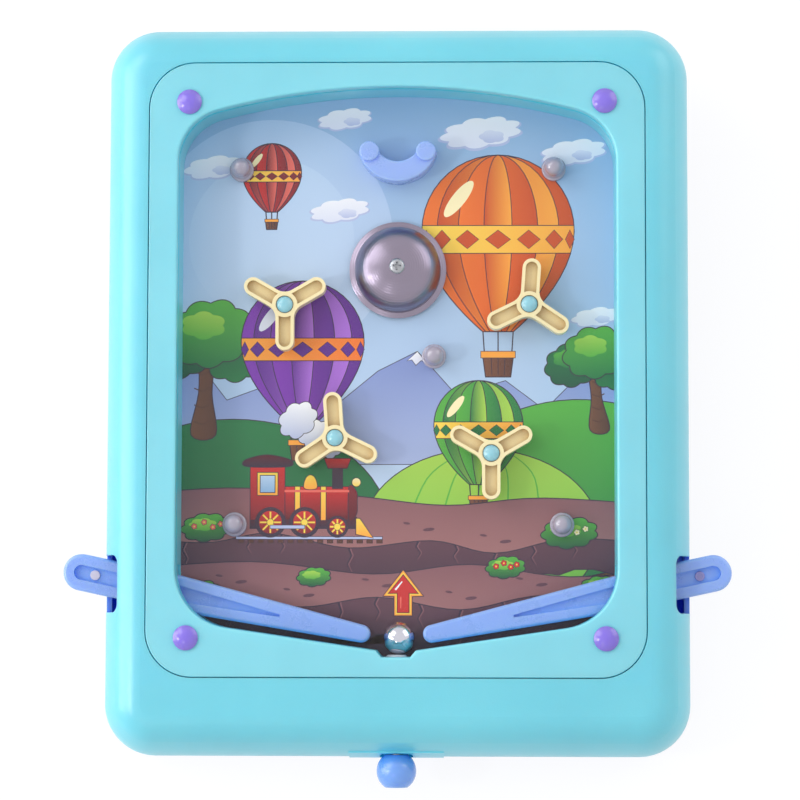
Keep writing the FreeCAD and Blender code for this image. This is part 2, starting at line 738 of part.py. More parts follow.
def upper_housing():
    """Aqua moulded housing: deck, round flanks, bezel recess, shelf, well wall and bosses."""
    body = new_body("upper_housing")
    flat_x, flat_y = HALF_WIDTH - S.flank_width, HALF_LENGTH - S.flank_width
    corner = S.case_corner - S.flank_width
    deck = new_sketch(body, "deck", height=SHELL_HEIGHT)
    add_rounded_box(deck, -flat_x, flat_x, -flat_y, flat_y, corner)
    pad(body, deck, S.case_height - SHELL_HEIGHT, "deck_block")
    sweep_flank(body, "PartDesign::AdditivePipe", "flank", Size.of(0), Size.of(0))
    hollow = new_sketch(body, "hollow", height=SHELL_HEIGHT)
    hollow_x, hollow_y = flat_x + S.wall, flat_y + S.wall
    add_rounded_box(hollow, -hollow_x, hollow_x, -hollow_y, hollow_y, corner + S.wall)
    pocket(body, hollow, SHELF_BOTTOM - SHELL_HEIGHT, "hollow_pocket", upwards=True)
    sweep_flank(body, "PartDesign::SubtractivePipe", "flank_hollow", S.wall, S.wall)
    front = new_sketch(body, "front_hollow", height=SHELF_BOTTOM)
    add_box(front, -flat_x, flat_x, -hollow_y, -(BEZEL_FRONT + S.bezel_gap + S.wall))
    pocket(body, front, S.case_height - S.deck - SHELF_BOTTOM, "front_pocket", upwards=True)
    wall = new_sketch(body, "well_wall", height=PRINT_TOP)
    add_outline(wall, *well_spots(S.well_wall))
    pad(body, wall, SHELF_BOTTOM - PRINT_TOP, "well_block")
    bosses = new_sketch(body, "bezel_bosses", height=SHELF_BOTTOM)
    add_circles(bosses, screw_places(), S.boss_radius)
    pad(body, bosses, S.boss_length, "bezel_boss_pads", downwards=True)
    posts = new_sketch(body, "case_bosses", height=SHELL_HEIGHT)
    add_circles(posts, case_screw_places(), S.boss_radius)
    pad(body, posts, BEZEL_BOTTOM - SHELL_HEIGHT, "case_boss_pads")
    ears = new_sketch(body, "board_bosses", height=PRINT_TOP)
    add_circles(ears, board_screw_places(), S.board_boss)
    pad(body, ears, SHELF_BOTTOM - PRINT_TOP, "board_boss_pads")
    boss = new_sketch(body, "plunger_boss", "YZ_Plane", -S.boss_half_width)
    foot, top, root_y = SHELL_HEIGHT + S.boss_step, AXIS_HEIGHT + S.boss_head, S.boss_root - HALF_LENGTH
    face = FLANK_WIDE + S.boss_proud
    add_outline(boss, [(flank_y(foot, face), foot), (root_y, foot), (root_y, top), (flank_y(top, face), top)],
                {3: (face, 1)})
    pad(body, boss, 2 * S.boss_half_width, "plunger_boss_pad")
    well = new_sketch(body, "well", height=S.case_height)
    add_outline(well, *well_spots(Size.of(0)))
    pocket(body, well, S.case_height - PRINT_TOP + S.overrun, "well_pocket")
    recess = new_sketch(body, "recess", height=S.case_height)
    reach_x = BEZEL_HALF_WIDTH + S.bezel_gap
    add_rounded_box(recess, -reach_x, reach_x, -(BEZEL_FRONT + S.bezel_gap),
                    BEZEL_REAR + S.bezel_gap, S.bezel_corner + S.bezel_gap)
    pocket(body, recess, S.case_height - SHELF_TOP, "recess_pocket")
    for side, name in ((-1, "left"), (1, "right")):
        slot = new_sketch(body, f"slot_{name}", "YZ_Plane", side * (HALF_WIDTH + S.overrun))
        front, rear = -(PIVOT_FRONT + SLOT_FRONT), SLOT_REAR - PIVOT_FRONT
        low, bend = SHELL_HEIGHT - S.overrun, SLOT_TOP - S.slot_corner
        add_outline(slot, [
            (front, low), (rear, low), (rear, bend), (rear - S.slot_corner, SLOT_TOP),
            (front + S.slot_corner, SLOT_TOP), (front, bend),
        ], {2: (S.slot_corner, 1), 4: (S.slot_corner, 1)})
        pocket(body, slot, S.overrun + S.flank_width, f"slot_{name}_pocket", upwards=side < 0)
        window = new_sketch(body, f"window_{name}", "YZ_Plane", side * (WELL_HALF_WIDTH - CORNER_BITE))
        add_box(window, -(PIVOT_FRONT + WINDOW_FRONT), WINDOW_REAR - PIVOT_FRONT,
                LEVER_BOTTOM - S.seat_gap, WINDOW_TOP)
        pocket(body, window, CORNER_BITE + 2 * S.well_wall, f"window_{name}_pocket", upwards=side > 0)
    holes = new_sketch(body, "bezel_screw_holes", height=SHELF_TOP)
    add_circles(holes, screw_places(), S.screw_shank + S.screw_core)
    pocket(body, holes, S.screw_length, "bezel_screw_pocket")
    holes = new_sketch(body, "case_screw_holes", height=SHELL_HEIGHT)
    add_circles(holes, case_screw_places(), S.screw_shank + S.screw_core)
    pocket(body, holes, CASE_SCREW_HOLE, "case_screw_pocket", upwards=True)
    holes = new_sketch(body, "board_screw_holes", height=PRINT_TOP)
    add_circles(holes, board_screw_places(), S.screw_shank + S.screw_core)
    pocket(body, holes, S.board_screw_length, "board_screw_pocket", upwards=True)
    seat = new_sketch(body, "knob_seat", "XZ_Plane", HALF_LENGTH + S.overrun)
    add_circle(seat, 0, AXIS_HEIGHT, S.knob_seat)
    pocket(body, seat, S.overrun + S.knob_sink, "knob_seat_pocket")
    bore = new_sketch(body, "plunger_bore", "XZ_Plane", HALF_LENGTH + S.overrun)
    add_circle(bore, 0, AXIS_HEIGHT, S.rod_diameter / 2 + S.rod_running + S.bush_bore_wall)
    pocket(body, bore, S.overrun + S.boss_root + S.overrun, "plunger_bore_pocket")
    port = new_sketch(body, "striker_port", "XZ_Plane", NOTCH_DEPTH + S.well_wall + S.overrun)
    add_circle(port, 0, AXIS_HEIGHT, S.striker_radius + S.seat_gap)
    pocket(body, port, S.overrun + S.well_wall + S.overrun, "striker_port_pocket")


def lower_shell():
    """Blue tray: rounded underside, board posts, ribs, screw bosses and the flipper pivot bosses."""
    body = new_body("lower_shell")
    outline = new_sketch(body, "outline")
    add_rounded_box(outline, -HALF_WIDTH, HALF_WIDTH, -HALF_LENGTH, HALF_LENGTH, S.case_corner)
    pad(body, outline, SHELL_HEIGHT, "block")
    round_edges(body, S.shell_edge, "underside", lambda p: near(p.z, 0))
    inner = new_sketch(body, "inner", height=SHELL_HEIGHT)
    inner_x, inner_y = HALF_WIDTH - S.shell_wall, HALF_LENGTH - S.shell_wall
    add_rounded_box(inner, -inner_x, inner_x, -inner_y, inner_y, S.case_corner - S.shell_wall)
    pocket(body, inner, SHELL_HEIGHT - S.shell_floor, "tray")
    floor = S.shell_floor.value
    round_edges(body, S.shell_edge - S.shell_wall, "inner_round", lambda p: near(p.z, floor))
    lines = (-S.post_offset, S.post_offset)
    rows = [share * HALF_LENGTH for share in POST_ROW_SHARES]
    half_rib = S.rib_thickness / 2
    ribs = new_sketch(body, "ribs", height=S.shell_floor)
    for x in lines:
        add_box(ribs, x - half_rib, x + half_rib, -inner_y, inner_y)
    pad(body, ribs, RIB_HEIGHT, "rib_pads")
    cross = new_sketch(body, "cross_ribs", height=S.shell_floor)
    for y in rows:
        add_box(cross, -inner_x, inner_x, y - half_rib, y + half_rib)
    pad(body, cross, RIB_HEIGHT, "cross_rib_pads")
    posts = new_sketch(body, "posts", height=S.shell_floor)
    add_circles(posts, [(x, y) for x in lines for y in rows], S.post_radius)
    pad(body, posts, BOARD_BOTTOM - S.shell_floor, "post_pads")
    bosses = new_sketch(body, "case_bosses", height=S.shell_floor)
    add_circles(bosses, case_screw_places(), S.boss_radius)
    pad(body, bosses, SHELL_HEIGHT - S.shell_floor, "case_boss_pads")
    pivots = new_sketch(body, "pivot_bosses", height=S.shell_floor)
    add_circles(pivots, pivot_places(), S.pivot_boss / 2)
    pad(body, pivots, LEVER_BOTTOM - S.seat_gap - S.shell_floor, "pivot_boss_pads")
    holes = new_sketch(body, "case_holes")
    add_circles(holes, case_screw_places(), S.screw_shank + S.screw_clearance)
    pocket(body, holes, SHELL_HEIGHT + S.overrun, "case_hole_pocket", upwards=True)
    sinks = new_sketch(body, "counterbores")
    add_circles(sinks, case_screw_places(), S.screw_head + S.screw_clearance)
    pocket(body, sinks, S.counterbore_depth, "counterbore_pocket", upwards=True)
    cores = new_sketch(body, "pivot_cores", height=LEVER_BOTTOM)
    add_circles(cores, pivot_places(), S.pivot_shank / 2 + S.screw_core)
    pocket(body, cores, 2 * S.seat_gap + S.pivot_grip, "pivot_core_pocket")
    pegs = new_sketch(body, "foot_holes")
    add_circles(pegs, foot_peg_places(-1) + foot_peg_places(1), S.foot_peg_radius + S.touch_gap)
    pocket(body, pegs, S.shell_floor + S.overrun, "foot_hole_pocket", upwards=True)
    seats = new_sketch(body, "pad_seats")
    for side in (-1, 1):
        add_box(seats, side * FOOT_OFFSET - S.pad_width / 2, side * FOOT_OFFSET + S.pad_width / 2,
                -(HALF_LENGTH - S.pad_setback), S.pad_setback + S.pad_depth - HALF_LENGTH)
    pocket(body, seats, S.pad_sink, "pad_seat_pocket", upwards=True)


def pivot_places():
    """Where the two flipper levers turn."""
    return [(side * PIVOT_OFFSET, -PIVOT_FRONT) for side in (-1, 1)]


def foot_peg_places(side):
    """Where the two pegs of a rear foot pass through the lower shell's floor."""
    y = HALF_LENGTH - S.foot_setback - S.foot_depth / 2
    return [(side * FOOT_OFFSET + spread * S.foot_peg_spread, y) for spread in (-1, 1)]


def bezel():
    """Aqua frame over the cover: a plate with skirts below, screw bosses and cap seats."""
    body = new_body("bezel")
    outline = new_sketch(body, "outline", height=BEZEL_BOTTOM)
    add_rounded_box(outline, -BEZEL_HALF_WIDTH, BEZEL_HALF_WIDTH, -BEZEL_FRONT, BEZEL_REAR,
                    S.bezel_corner)
    pad(body, outline, S.bezel_depth, "plate")
    under = new_sketch(body, "underside", height=BEZEL_BOTTOM)
    add_rounded_box(under, S.bezel_skirt - BEZEL_HALF_WIDTH, BEZEL_HALF_WIDTH - S.bezel_skirt,
                    S.bezel_skirt - BEZEL_FRONT, BEZEL_REAR - S.bezel_skirt,
                    S.bezel_corner - S.bezel_skirt)
    add_outline(under, *well_spots(S.bezel_skirt))
    pocket(body, under, S.bezel_depth - S.bezel_plate, "underside_pocket", upwards=True)
    bosses = new_sketch(body, "bosses", height=BEZEL_BOTTOM)
    add_circles(bosses, screw_places(), S.boss_radius + S.bezel_skirt)
    pad(body, bosses, S.bezel_depth - S.bezel_plate, "boss_pads")
    opening = new_sketch(body, "opening", height=S.case_height)
    add_outline(opening, *well_spots(Size.of(0)))
    pocket(body, opening, S.bezel_depth + S.overrun, "opening_pocket")
    top = S.case_height.value
    reach_x = (WELL_HALF_WIDTH + S.bezel_skirt).value
    reach_rear = (WELL_CROWN + S.bezel_skirt).value
    reach_front = (NOTCH_DEPTH + S.bezel_skirt).value

    def outside(point):
        """Whether a point lies beyond the opening, on the frame's outer outline."""
        return abs(point.x) > reach_x or point.y > reach_rear or point.y < -reach_front

    round_edges(body, S.bezel_lip, "opening_round", lambda p: near(p.z, top) and not outside(p))
    round_edges(body, S.small_edge, "outer_round", lambda p: near(p.z, top) and outside(p))
    seats = new_sketch(body, "cap_seats", height=S.case_height)
    add_circles(seats, screw_places(), S.cap_plug + S.screw_clearance)
    pocket(body, seats, S.bezel_depth - S.bezel_seat, "cap_seat_pocket")
    holes = new_sketch(body, "screw_holes", height=S.case_height)
    add_circles(holes, screw_places(), S.screw_shank + S.screw_clearance)
    pocket(body, holes, S.bezel_depth + S.overrun, "screw_hole_pocket")


def clear_cover():
    """Clear sheet that the bezel clamps on the housing's shelf."""
    body = new_body("clear_cover")
    outline = new_sketch(body, "outline", height=SHELF_TOP)
    margin = S.cover_margin
    add_rounded_box(outline, margin - BEZEL_HALF_WIDTH, BEZEL_HALF_WIDTH - margin,
                    margin - BEZEL_FRONT, BEZEL_REAR - margin, S.bezel_corner - margin)
    add_circles(outline, screw_places(), S.screw_shank + S.screw_clearance)
    pad(body, outline, S.cover_sheet, "sheet")


def add_board_outline(sketch):
    """Outline of the playfield board."""
    add_rounded_box(sketch, -BOARD_HALF_WIDTH, BOARD_HALF_WIDTH, -BOARD_FRONT, BOARD_REAR,
                    S.board_corner)


def playfield_places(shares):
    """Places on the playfield from shares of the well's half width and of its crown."""
    return [(x * WELL_HALF_WIDTH, y * WELL_CROWN) for x, y in shares]


def spinner_places():
    """Where the four spinners turn."""
    return playfield_places(SPINNER_PLACE_SHARES)


def peg_places():
    """Where the five pegs stand: the last two guard the levers."""
    lower_y = S.lower_peg_advance - PIVOT_FRONT
    return playfield_places(PEG_PLACE_SHARES) + [(x * WELL_HALF_WIDTH, lower_y) for x in LOWER_PEG_SHARES]


def playfield_board():
    """Board under the well, with holes for everything that stands on it."""
    body = new_body("playfield_board")
    outline = new_sketch(body, "outline", height=BOARD_BOTTOM)
    add_board_outline(outline)
    pad(body, outline, S.board_thickness, "board")
    relief = new_sketch(body, "relief", height=BOARD_BOTTOM)
    add_circles(relief, pivot_places(), S.board_relief)
    pocket(body, relief, S.board_thickness + S.overrun, "relief_pocket", upwards=True)
    holes = new_sketch(body, "holes", height=BOARD_BOTTOM)
    spigots = peg_places() + spinner_places() + [(0, BELL_FRONT)]
    add_circles(holes, spigots, S.spigot_radius + S.spigot_fit)
    pocket(body, holes, S.board_thickness + S.overrun, "hole_pocket", upwards=True)
    screws = new_sketch(body, "screw_holes", height=BOARD_BOTTOM)
    add_circles(screws, board_screw_places() + cup_post_places(), S.screw_shank + S.screw_clearance)
    pocket(body, screws, S.board_thickness + S.overrun, "screw_hole_pocket", upwards=True)


def playfield_print():
    """Printed sheet glued on the board inside the well's wall."""
    body = new_body("playfield_print")
    outline = new_sketch(body, "outline", height=PRINT_TOP)
    add_board_outline(outline)
    pad(body, outline, S.print_sheet, "sheet", downwards=True)
    relief = new_sketch(body, "relief", height=PRINT_TOP)
    add_circles(relief, pivot_places(), S.board_relief)
    pocket(body, relief, S.print_sheet + S.overrun, "relief_pocket")
    holes = new_sketch(body, "holes", height=PRINT_TOP)
    spigots = peg_places() + spinner_places() + [(0, BELL_FRONT)]
    add_circles(holes, spigots, S.spigot_radius + S.spigot_fit)
    pocket(body, holes, S.print_sheet + S.overrun, "hole_pocket")
    screws = new_sketch(body, "screw_holes", height=PRINT_TOP)
    add_circles(screws, board_screw_places() + cup_post_places(), S.screw_shank + S.screw_clearance)
    pocket(body, screws, S.print_sheet + S.overrun, "screw_hole_pocket")


# Flippers


def flipper(name, side):
    """One-piece lever: round handle outside the case, tapered flipper inside, grooved on top."""
    body = new_body(f"flipper_{name}")
    inward = -side
    taper = (S.lever_half_width - S.lever_tip_radius) / (LEVER_TIP_REACH - S.lever_taper_start)
    level = root(1 - taper * taper)
    start = S.lever_taper_start + S.lever_half_width * taper
    finish = LEVER_TIP_REACH + S.lever_tip_radius * taper
    handle = -LEVER_HANDLE_REACH
    lower = [(handle, -S.lever_half_width), (S.lever_taper_start, -S.lever_half_width),
             (start, -(S.lever_half_width * level)), (finish, -(S.lever_tip_radius * level))]
    upper = [(x, -y) for x, y in reversed(lower)]
    arcs = {index: (S.lever_half_width, inward) for index in (1, 5, 7)}
    arcs[3] = (S.lever_tip_radius, inward)
    outline = new_sketch(body, "outline", height=LEVER_BOTTOM)
    add_outline(outline, [(inward * x, y) for x, y in lower + upper], arcs)
    pad(body, outline, LEVER_HEIGHT, "lever")
    top = LEVER_TOP.value
    round_edges(body, S.lever_edge, "top_round", lambda p: near(p.z, top))
    groove = new_sketch(body, "handle_groove", height=LEVER_TOP)
    half, back = S.lever_groove_half, -S.lever_groove_start
    spots = [(handle, -half), (back, -half), (back, half), (handle, half)]
    add_outline(groove, [(inward * x, y) for x, y in spots], {3: (half, inward)})
    pocket(body, groove, S.lever_groove_depth, "handle_groove_pocket")
    wedge = new_sketch(body, "flipper_groove", height=LEVER_TOP)
    begin, tip, wide = S.lever_wedge_start, LEVER_WEDGE_REACH, S.lever_wedge_half
    spots = [(begin, -wide), (tip, -S.small_edge), (tip, S.small_edge), (begin, wide)]
    add_outline(wedge, [(inward * x, y) for x, y in spots], {1: (S.small_edge * 2, inward)})
    pocket(body, wedge, S.lever_groove_depth, "flipper_groove_pocket")
    dot = new_sketch(body, "mark", height=LEVER_TOP - S.lever_groove_depth)
    add_circle(dot, inward * (handle + S.lever_mark_reach), 0, S.lever_mark)
    pad(body, dot, S.lever_mark_height, "mark_pad")
    bore = new_sketch(body, "bore", height=LEVER_TOP)
    add_circle(bore, 0, 0, S.pivot_bore / 2)
    pocket(body, bore, LEVER_HEIGHT + S.overrun, "bore_pocket")
    x, y = side * PIVOT_OFFSET.value, -PIVOT_FRONT.value
    turn = Rotation(Vector(0, 0, 1), side * S.lever_angle.value)
    body.Placement = CABINET.multiply(Placement(Vector(x, y, 0), turn))


def pivot_pin(name, side):
    """Shouldered screw on which a lever turns, driven into the lower shell's boss."""
    foot = LEVER_BOTTOM - S.seat_gap
    seat = LEVER_TOP + S.seat_gap
    head, shank, body_radius = S.pivot_head / 2, S.pivot_shank / 2, S.pivot_pin / 2
    top = seat + S.pivot_head_height
    turned_profile(f"flipper_pivot_{name}", [
        (0, foot - S.pivot_grip), (shank, foot - S.pivot_grip), (shank, foot), (body_radius, foot),
        (body_radius, seat), (head, seat), (head, top), (0, top),
    ], None, (side * PIVOT_OFFSET, -PIVOT_FRONT))


# Springs: one wire each, its turns laid as tangent arcs of an eighth of a turn


def biarc(start, start_way, end, end_way):
    """Two tangent arcs from start to end that leave and arrive along the given unit directions."""
    gap = end - start
    ways = start_way + end_way
    spread = 2 * (1 - start_way.dot(end_way))
    across = gap.dot(ways)
    reach = (math.sqrt(across ** 2 + spread * gap.dot(gap)) - across) / spread
    joint = (start + end + (start_way - end_way) * reach) * 0.5
    arcs = []
    halves = ((start, joint, start + start_way * reach), (joint, end, end - end_way * reach))
    for first, last, corner in halves:
        middle = (first + last) * 0.5
        half = (last - first).Length / 2
        rise = (corner - middle).Length
        turn = math.asin(min(rise / reach, 1.0))
        sagitta = half / math.sin(turn) * (1 - math.cos(turn))
        bulge = middle + (corner - middle).normalize() * sagitta
        arcs.append(Part.Arc(first, bulge, last).toShape())
    return arcs


QUARTERS = 4


def coil_edges(radius, turns, pitch):
    """Edges of a coil about Z that starts at (radius, 0, 0) and climbs by pitch each turn."""
    steps = round(turns * QUARTERS)
    climb = pitch / (2 * math.pi * radius)
    edges = []

    def at(step):
        """Point and direction after a number of quarter turns."""
        angle = step * 2 * math.pi / QUARTERS
        point = Vector(radius * math.cos(angle), radius * math.sin(angle), pitch * step / QUARTERS)
        return point, Vector(-math.sin(angle), math.cos(angle), climb).normalize()

    for step in range(steps):
        edges += biarc(*at(step), *at(step + 1))
    return edges, at(0), at(steps)


def least_gap(edges, thickness):
    """Smallest gap between the turns of a wire, measured on points half a turn or more apart."""
    points = [point for edge in edges for point in edge.discretize(QUARTERS + 1)[:-1]]
    apart = QUARTERS * QUARTERS
    return min((points[j] - points[i]).Length
               for i in range(len(points)) for j in range(i + apart, len(points))) - thickness


def wire_solid(label, edges, start, way, thickness):
    """A round wire along the edges."""
    print(f"{label}: least gap between turns {least_gap(edges, thickness):.2f} mm")
    section = Part.Wire(Part.Circle(start, way, thickness / 2).toShape())
    return Part.Wire(edges).makePipeShell([section], True, False)


def plain_piece(label, shape, place):
    """A piece whose shape is worked out from the sheet here, placed in the flat cabinet."""
    piece = doc.addObject("Part::Feature", label)
    piece.Label = label
    piece.Shape = shape
    piece.Placement = CABINET.multiply(place)
    pieces.append(piece)


def flipper_spring(name, side):
    """Torsion spring round the pivot boss, with both legs on the side away from the playfield."""
    label = f"flipper_spring_{name}"
    wire = S.spring_wire.value
    radius = S.pivot_boss.value / 2 + S.spring_play.value + wire / 2
    turns, pitch = S.spring_turns, S.spring_pitch
    edges, (start, start_way), (end, end_way) = coil_edges(radius, turns.value, pitch.value)
    leg = S.spring_leg.value
    foot = start - start_way * leg
    path = [Part.LineSegment(foot, start).toShape()] + edges
    path.append(Part.LineSegment(end, end + end_way * leg).toShape())
    solid = wire_solid(label, path, foot, start_way, wire)
    if side < 0:
        solid = solid.mirror(Vector(), Vector(1, 0, 0))
    climb = turns * pitch + S.spring_wire / 2 + leg * end_way.z
    height = LEVER_BOTTOM - S.seat_gap - climb
    base = Vector(side * PIVOT_OFFSET.value, -PIVOT_FRONT.value, height.value)
    plain_piece(label, solid, Placement(base, Rotation()))


# Plunger


def along_y(y):
    """A place on the plunger's axis whose own Z points towards the player."""
    return Placement(Vector(0, y, AXIS_HEIGHT.value), Rotation(Vector(1, 0, 0), 90))


def axial_profile(label, spots, arcs=None):
    """A piece turned about the plunger's axis from (radius, distance towards the player) spots."""
    body = new_body(label)
    sketch = new_sketch(body, "profile", "XZ_Plane")
    add_outline(sketch, spots, arcs)
    revolve(body, sketch, "turned")
    body.Placement = CABINET.multiply(along_y(0))


def plunger():
    """Rod with its knob outside the case, and the striker and retaining washer inside."""
    rod = S.rod_diameter / 2
    rod_start = STRIKER_FACE + S.striker_length - S.striker_bore_depth
    rod_end = KNOB_NEAR + S.knob_socket
    axial_profile("plunger_rod", [(0, rod_start), (rod, rod_start), (rod, rod_end), (0, rod_end)])
    flat = root(S.knob_radius * S.knob_radius - S.knob_half_length * S.knob_half_length)
    axial_profile("plunger_knob", [
        (rod, KNOB_NEAR), (flat, KNOB_NEAR), (flat, KNOB_FAR), (0, KNOB_FAR), (0, rod_end), (rod, rod_end),
    ], {1: (S.knob_radius, 1)})
    back = S.striker_radius - S.striker_taper
    axial_profile("plunger_striker", [
        (0, STRIKER_FACE), (back, STRIKER_FACE), (S.striker_radius, STRIKER_FACE + S.striker_taper),
        (S.striker_radius, STRIKER_BACK), (rod, STRIKER_BACK), (rod, rod_start), (0, rod_start),
    ])
    axial_profile("plunger_washer", [
        (rod, STRIKER_BACK), (S.washer_radius, STRIKER_BACK), (S.washer_radius, WASHER_BACK),
        (rod, WASHER_BACK),
    ])


def plunger_guide():
    """Flanged bush in the front wall, whose nose centres the spring and stops the washer."""
    bore = S.rod_diameter / 2 + S.rod_running
    outer = bore + S.bush_bore_wall - S.touch_gap
    inner_face = HALF_LENGTH - S.boss_root
    nose = WASHER_BACK + S.plunger_travel + S.seat_gap
    axial_profile("plunger_guide", [
        (bore, nose), (outer, nose),
        (outer, inner_face - S.bush_flange_thick), (S.bush_flange, inner_face - S.bush_flange_thick),
        (S.bush_flange, inner_face), (outer, inner_face), (outer, FRONT_FACE), (bore, FRONT_FACE),
    ])


def plunger_spring():
    """Compression spring between the washer and the guide's flange."""
    wire = S.coil_wire.value
    radius = (S.rod_diameter / 2 + S.rod_running + S.bush_bore_wall + S.coil_play).value + wire / 2
    first = WASHER_BACK.value + S.seat_gap.value + wire / 2
    last = (HALF_LENGTH - S.boss_root - S.bush_flange_thick - S.seat_gap).value - wire / 2
    turns = S.coil_turns.value
    edges, (start, way), _ = coil_edges(radius, turns, (last - first) / turns)
    solid = wire_solid("plunger_spring", edges, start, way, wire)
    plain_piece("plunger_spring", solid, along_y(-first))


# What stands on the playfield


def bell():
    """Sheet metal gong on a flanged post, held by a pan-head screw."""
    place = (0, BELL_FRONT)
    crown, dome, rise = S.bell_crown_radius, S.bell_dome_radius, BELL_RISE - S.bell_sheet
    brim, centre = BELL_RIM + S.bell_sheet, BELL_TOP - crown
    spare = crown - rise
    shoulder = (crown * crown - dome * dome - spare * spare) / (2 * (crown - dome))
    hub = dome - shoulder
    outer, inner = crown / (crown - shoulder), (crown - S.bell_sheet) / (crown - shoulder)
    inside = crown - S.bell_sheet
    hole, low = S.bell_screw_hole, BELL_RIM - S.bell_brim_drop
    turned_profile("bell_gong", [
        (hole, centre + root(inside * inside - hole * hole)), (hub * inner, centre + spare * inner),
        (dome - S.bell_sheet, brim), (dome - S.bell_sheet, BELL_RIM), (S.bell_rim_radius, low),
        (S.bell_rim_radius, low + S.bell_sheet), (dome, brim), (hub * outer, centre + spare * outer),
        (hole, centre + root(crown * crown - hole * hole)),
    ], {0: (inside, -1), 1: (shoulder - S.bell_sheet, -1), 6: (shoulder, 1), 7: (crown, 1)}, place)
    post_radius = S.bell_post_radius
    post_top = centre + root(inside * inside - post_radius * post_radius) - S.touch_gap
    core = S.bell_screw_shank + S.screw_core
    core_floor = BELL_TOP - S.bell_screw_grip
    spigot = S.spigot_radius
    turned_profile("bell_post", [
        (0, BOARD_BOTTOM), (spigot, BOARD_BOTTOM), (spigot, PRINT_TOP), (S.bell_post_flange, PRINT_TOP),
        (S.bell_post_flange, PRINT_TOP + S.bell_sheet), (post_radius, PRINT_TOP + 2 * S.bell_sheet),
        (post_radius, post_top), (core, post_top), (core, core_floor), (0, core_floor),
    ], None, place)
    edge = S.bell_screw_head * HEAD_EDGE_SHARE
    turned_profile("bell_screw", [
        (0, core_floor + S.seat_gap), (S.bell_screw_shank, core_floor + S.seat_gap),
        (S.bell_screw_shank, BELL_TOP), (S.bell_screw_radius, BELL_TOP),
        (S.bell_screw_radius, BELL_TOP + edge), (0, BELL_TOP + S.bell_screw_head),
    ], {4: (dome_radius(S.bell_screw_radius, S.bell_screw_head - edge), 1)}, place)


def dome_radius(edge_radius, rise):
    """Radius of the sphere whose cap has the given edge radius and rise."""
    return (edge_radius * edge_radius + rise * rise) / (2 * rise)


def peg(index, place):
    """Round bumper post: a broad foot, a waist and a domed head, with a spigot in the board."""
    foot = PRINT_TOP + S.peg_base_height
    crown = PRINT_TOP + S.peg_height - S.peg_dome
    edge = S.small_edge * 2
    turned_profile(f"peg_{index}", [
        (0, BOARD_BOTTOM), (S.spigot_radius, BOARD_BOTTOM), (S.spigot_radius, PRINT_TOP),
        (S.peg_base, PRINT_TOP), (S.peg_base, foot - edge), (S.peg_base - edge, foot),
        (S.peg_waist, foot + edge), (S.peg_dome, crown), (0, crown + S.peg_dome),
    ], {4: (edge, 1), 7: (S.peg_dome, 1)}, place)


def spinner_pin(index, place):
    """Fixed pin with a foot collar, and the domed cap pressed on it that keeps the spinner on."""
    collar = SPINNER_BOTTOM - S.spinner_clearance
    under_cap = SPINNER_TOP - S.spinner_sink + S.spinner_clearance
    edge = S.spinner_cap_height * HEAD_EDGE_SHARE
    pin_top = under_cap + edge
    turned_profile(f"spinner_pin_{index}", [
        (0, BOARD_BOTTOM), (S.spigot_radius, BOARD_BOTTOM), (S.spigot_radius, PRINT_TOP),
        (S.spinner_foot, PRINT_TOP), (S.spinner_foot, collar), (S.spinner_pin, collar),
        (S.spinner_pin, pin_top), (0, pin_top),
    ], None, place)
    turned_profile(f"spinner_cap_{index}", [
        (S.spinner_pin, under_cap), (S.spinner_cap, under_cap), (S.spinner_cap, under_cap + edge),
        (0, under_cap + S.spinner_cap_height), (0, pin_top), (S.spinner_pin, pin_top),
    ], {2: (dome_radius(S.spinner_cap, S.spinner_cap_height - edge), 1)}, place)


def spinner(index, place, first_arm):
    """Three-armed spinner: sunk arms with raised rims, blended together, round a sunk hub."""
    body = new_body(f"spinner_{index}")
    half, reach = S.spinner_arm, S.spinner_reach
    arm = new_sketch(body, "arm", height=SPINNER_BOTTOM)
    end = reach - half
    add_outline(arm, [(0, -half), (end, -half), (end, half), (0, half)], {1: (half, 1)})
    first = pad(body, arm, S.spinner_height, "arm_pad")
    repeat(body, first, "arms")
    corner = half.value / math.sin(math.pi / ARMS)
    round_edges(body, S.spinner_blend, "blend", lambda p: near(math.hypot(p.x, p.y), corner))
    recess = new_sketch(body, "recess", height=SPINNER_TOP)
    inner = half - S.spinner_rim
    near_hub = root(S.spinner_hub * S.spinner_hub - inner * inner)
    add_outline(recess, [(near_hub, -inner), (end, -inner), (end, inner), (near_hub, inner)],
                {1: (inner, 1), 3: (S.spinner_hub, -1)})
    cut = pocket(body, recess, S.spinner_recess, "recess_pocket")
    repeat(body, cut, "recesses")
    sink = new_sketch(body, "sink", height=SPINNER_TOP)
    add_circle(sink, 0, 0, S.spinner_cap + S.spinner_clearance)
    pocket(body, sink, S.spinner_sink, "sink_pocket")
    bore = new_sketch(body, "bore", height=SPINNER_TOP)
    add_circle(bore, 0, 0, S.spinner_bore)
    pocket(body, bore, S.spinner_height + S.overrun, "bore_pocket")
    x, y = place[0].value, place[1].value
    turn = Rotation(Vector(0, 0, 1), first_arm)
    body.Placement = CABINET.multiply(Placement(Vector(x, y, 0), turn))


def repeat(body, feature, name):
    """The feature once for each arm, about the body's upright axis."""
    doc.recompute()
    pattern = body.newObject("PartDesign::PolarPattern", f"{body.Label}_{name}")
    pattern.Originals = [feature]
    pattern.Axis = (plane(body, "Z_Axis"), [""])
    pattern.Angle = 360.0
    pattern.Occurrences = ARMS
    body.Tip = pattern


def cup_post_places():
    """Where the two round posts of the catch cup stand."""
    return [(side * S.cup_post_offset, CUP_POST_Y) for side in (-1, 1)]


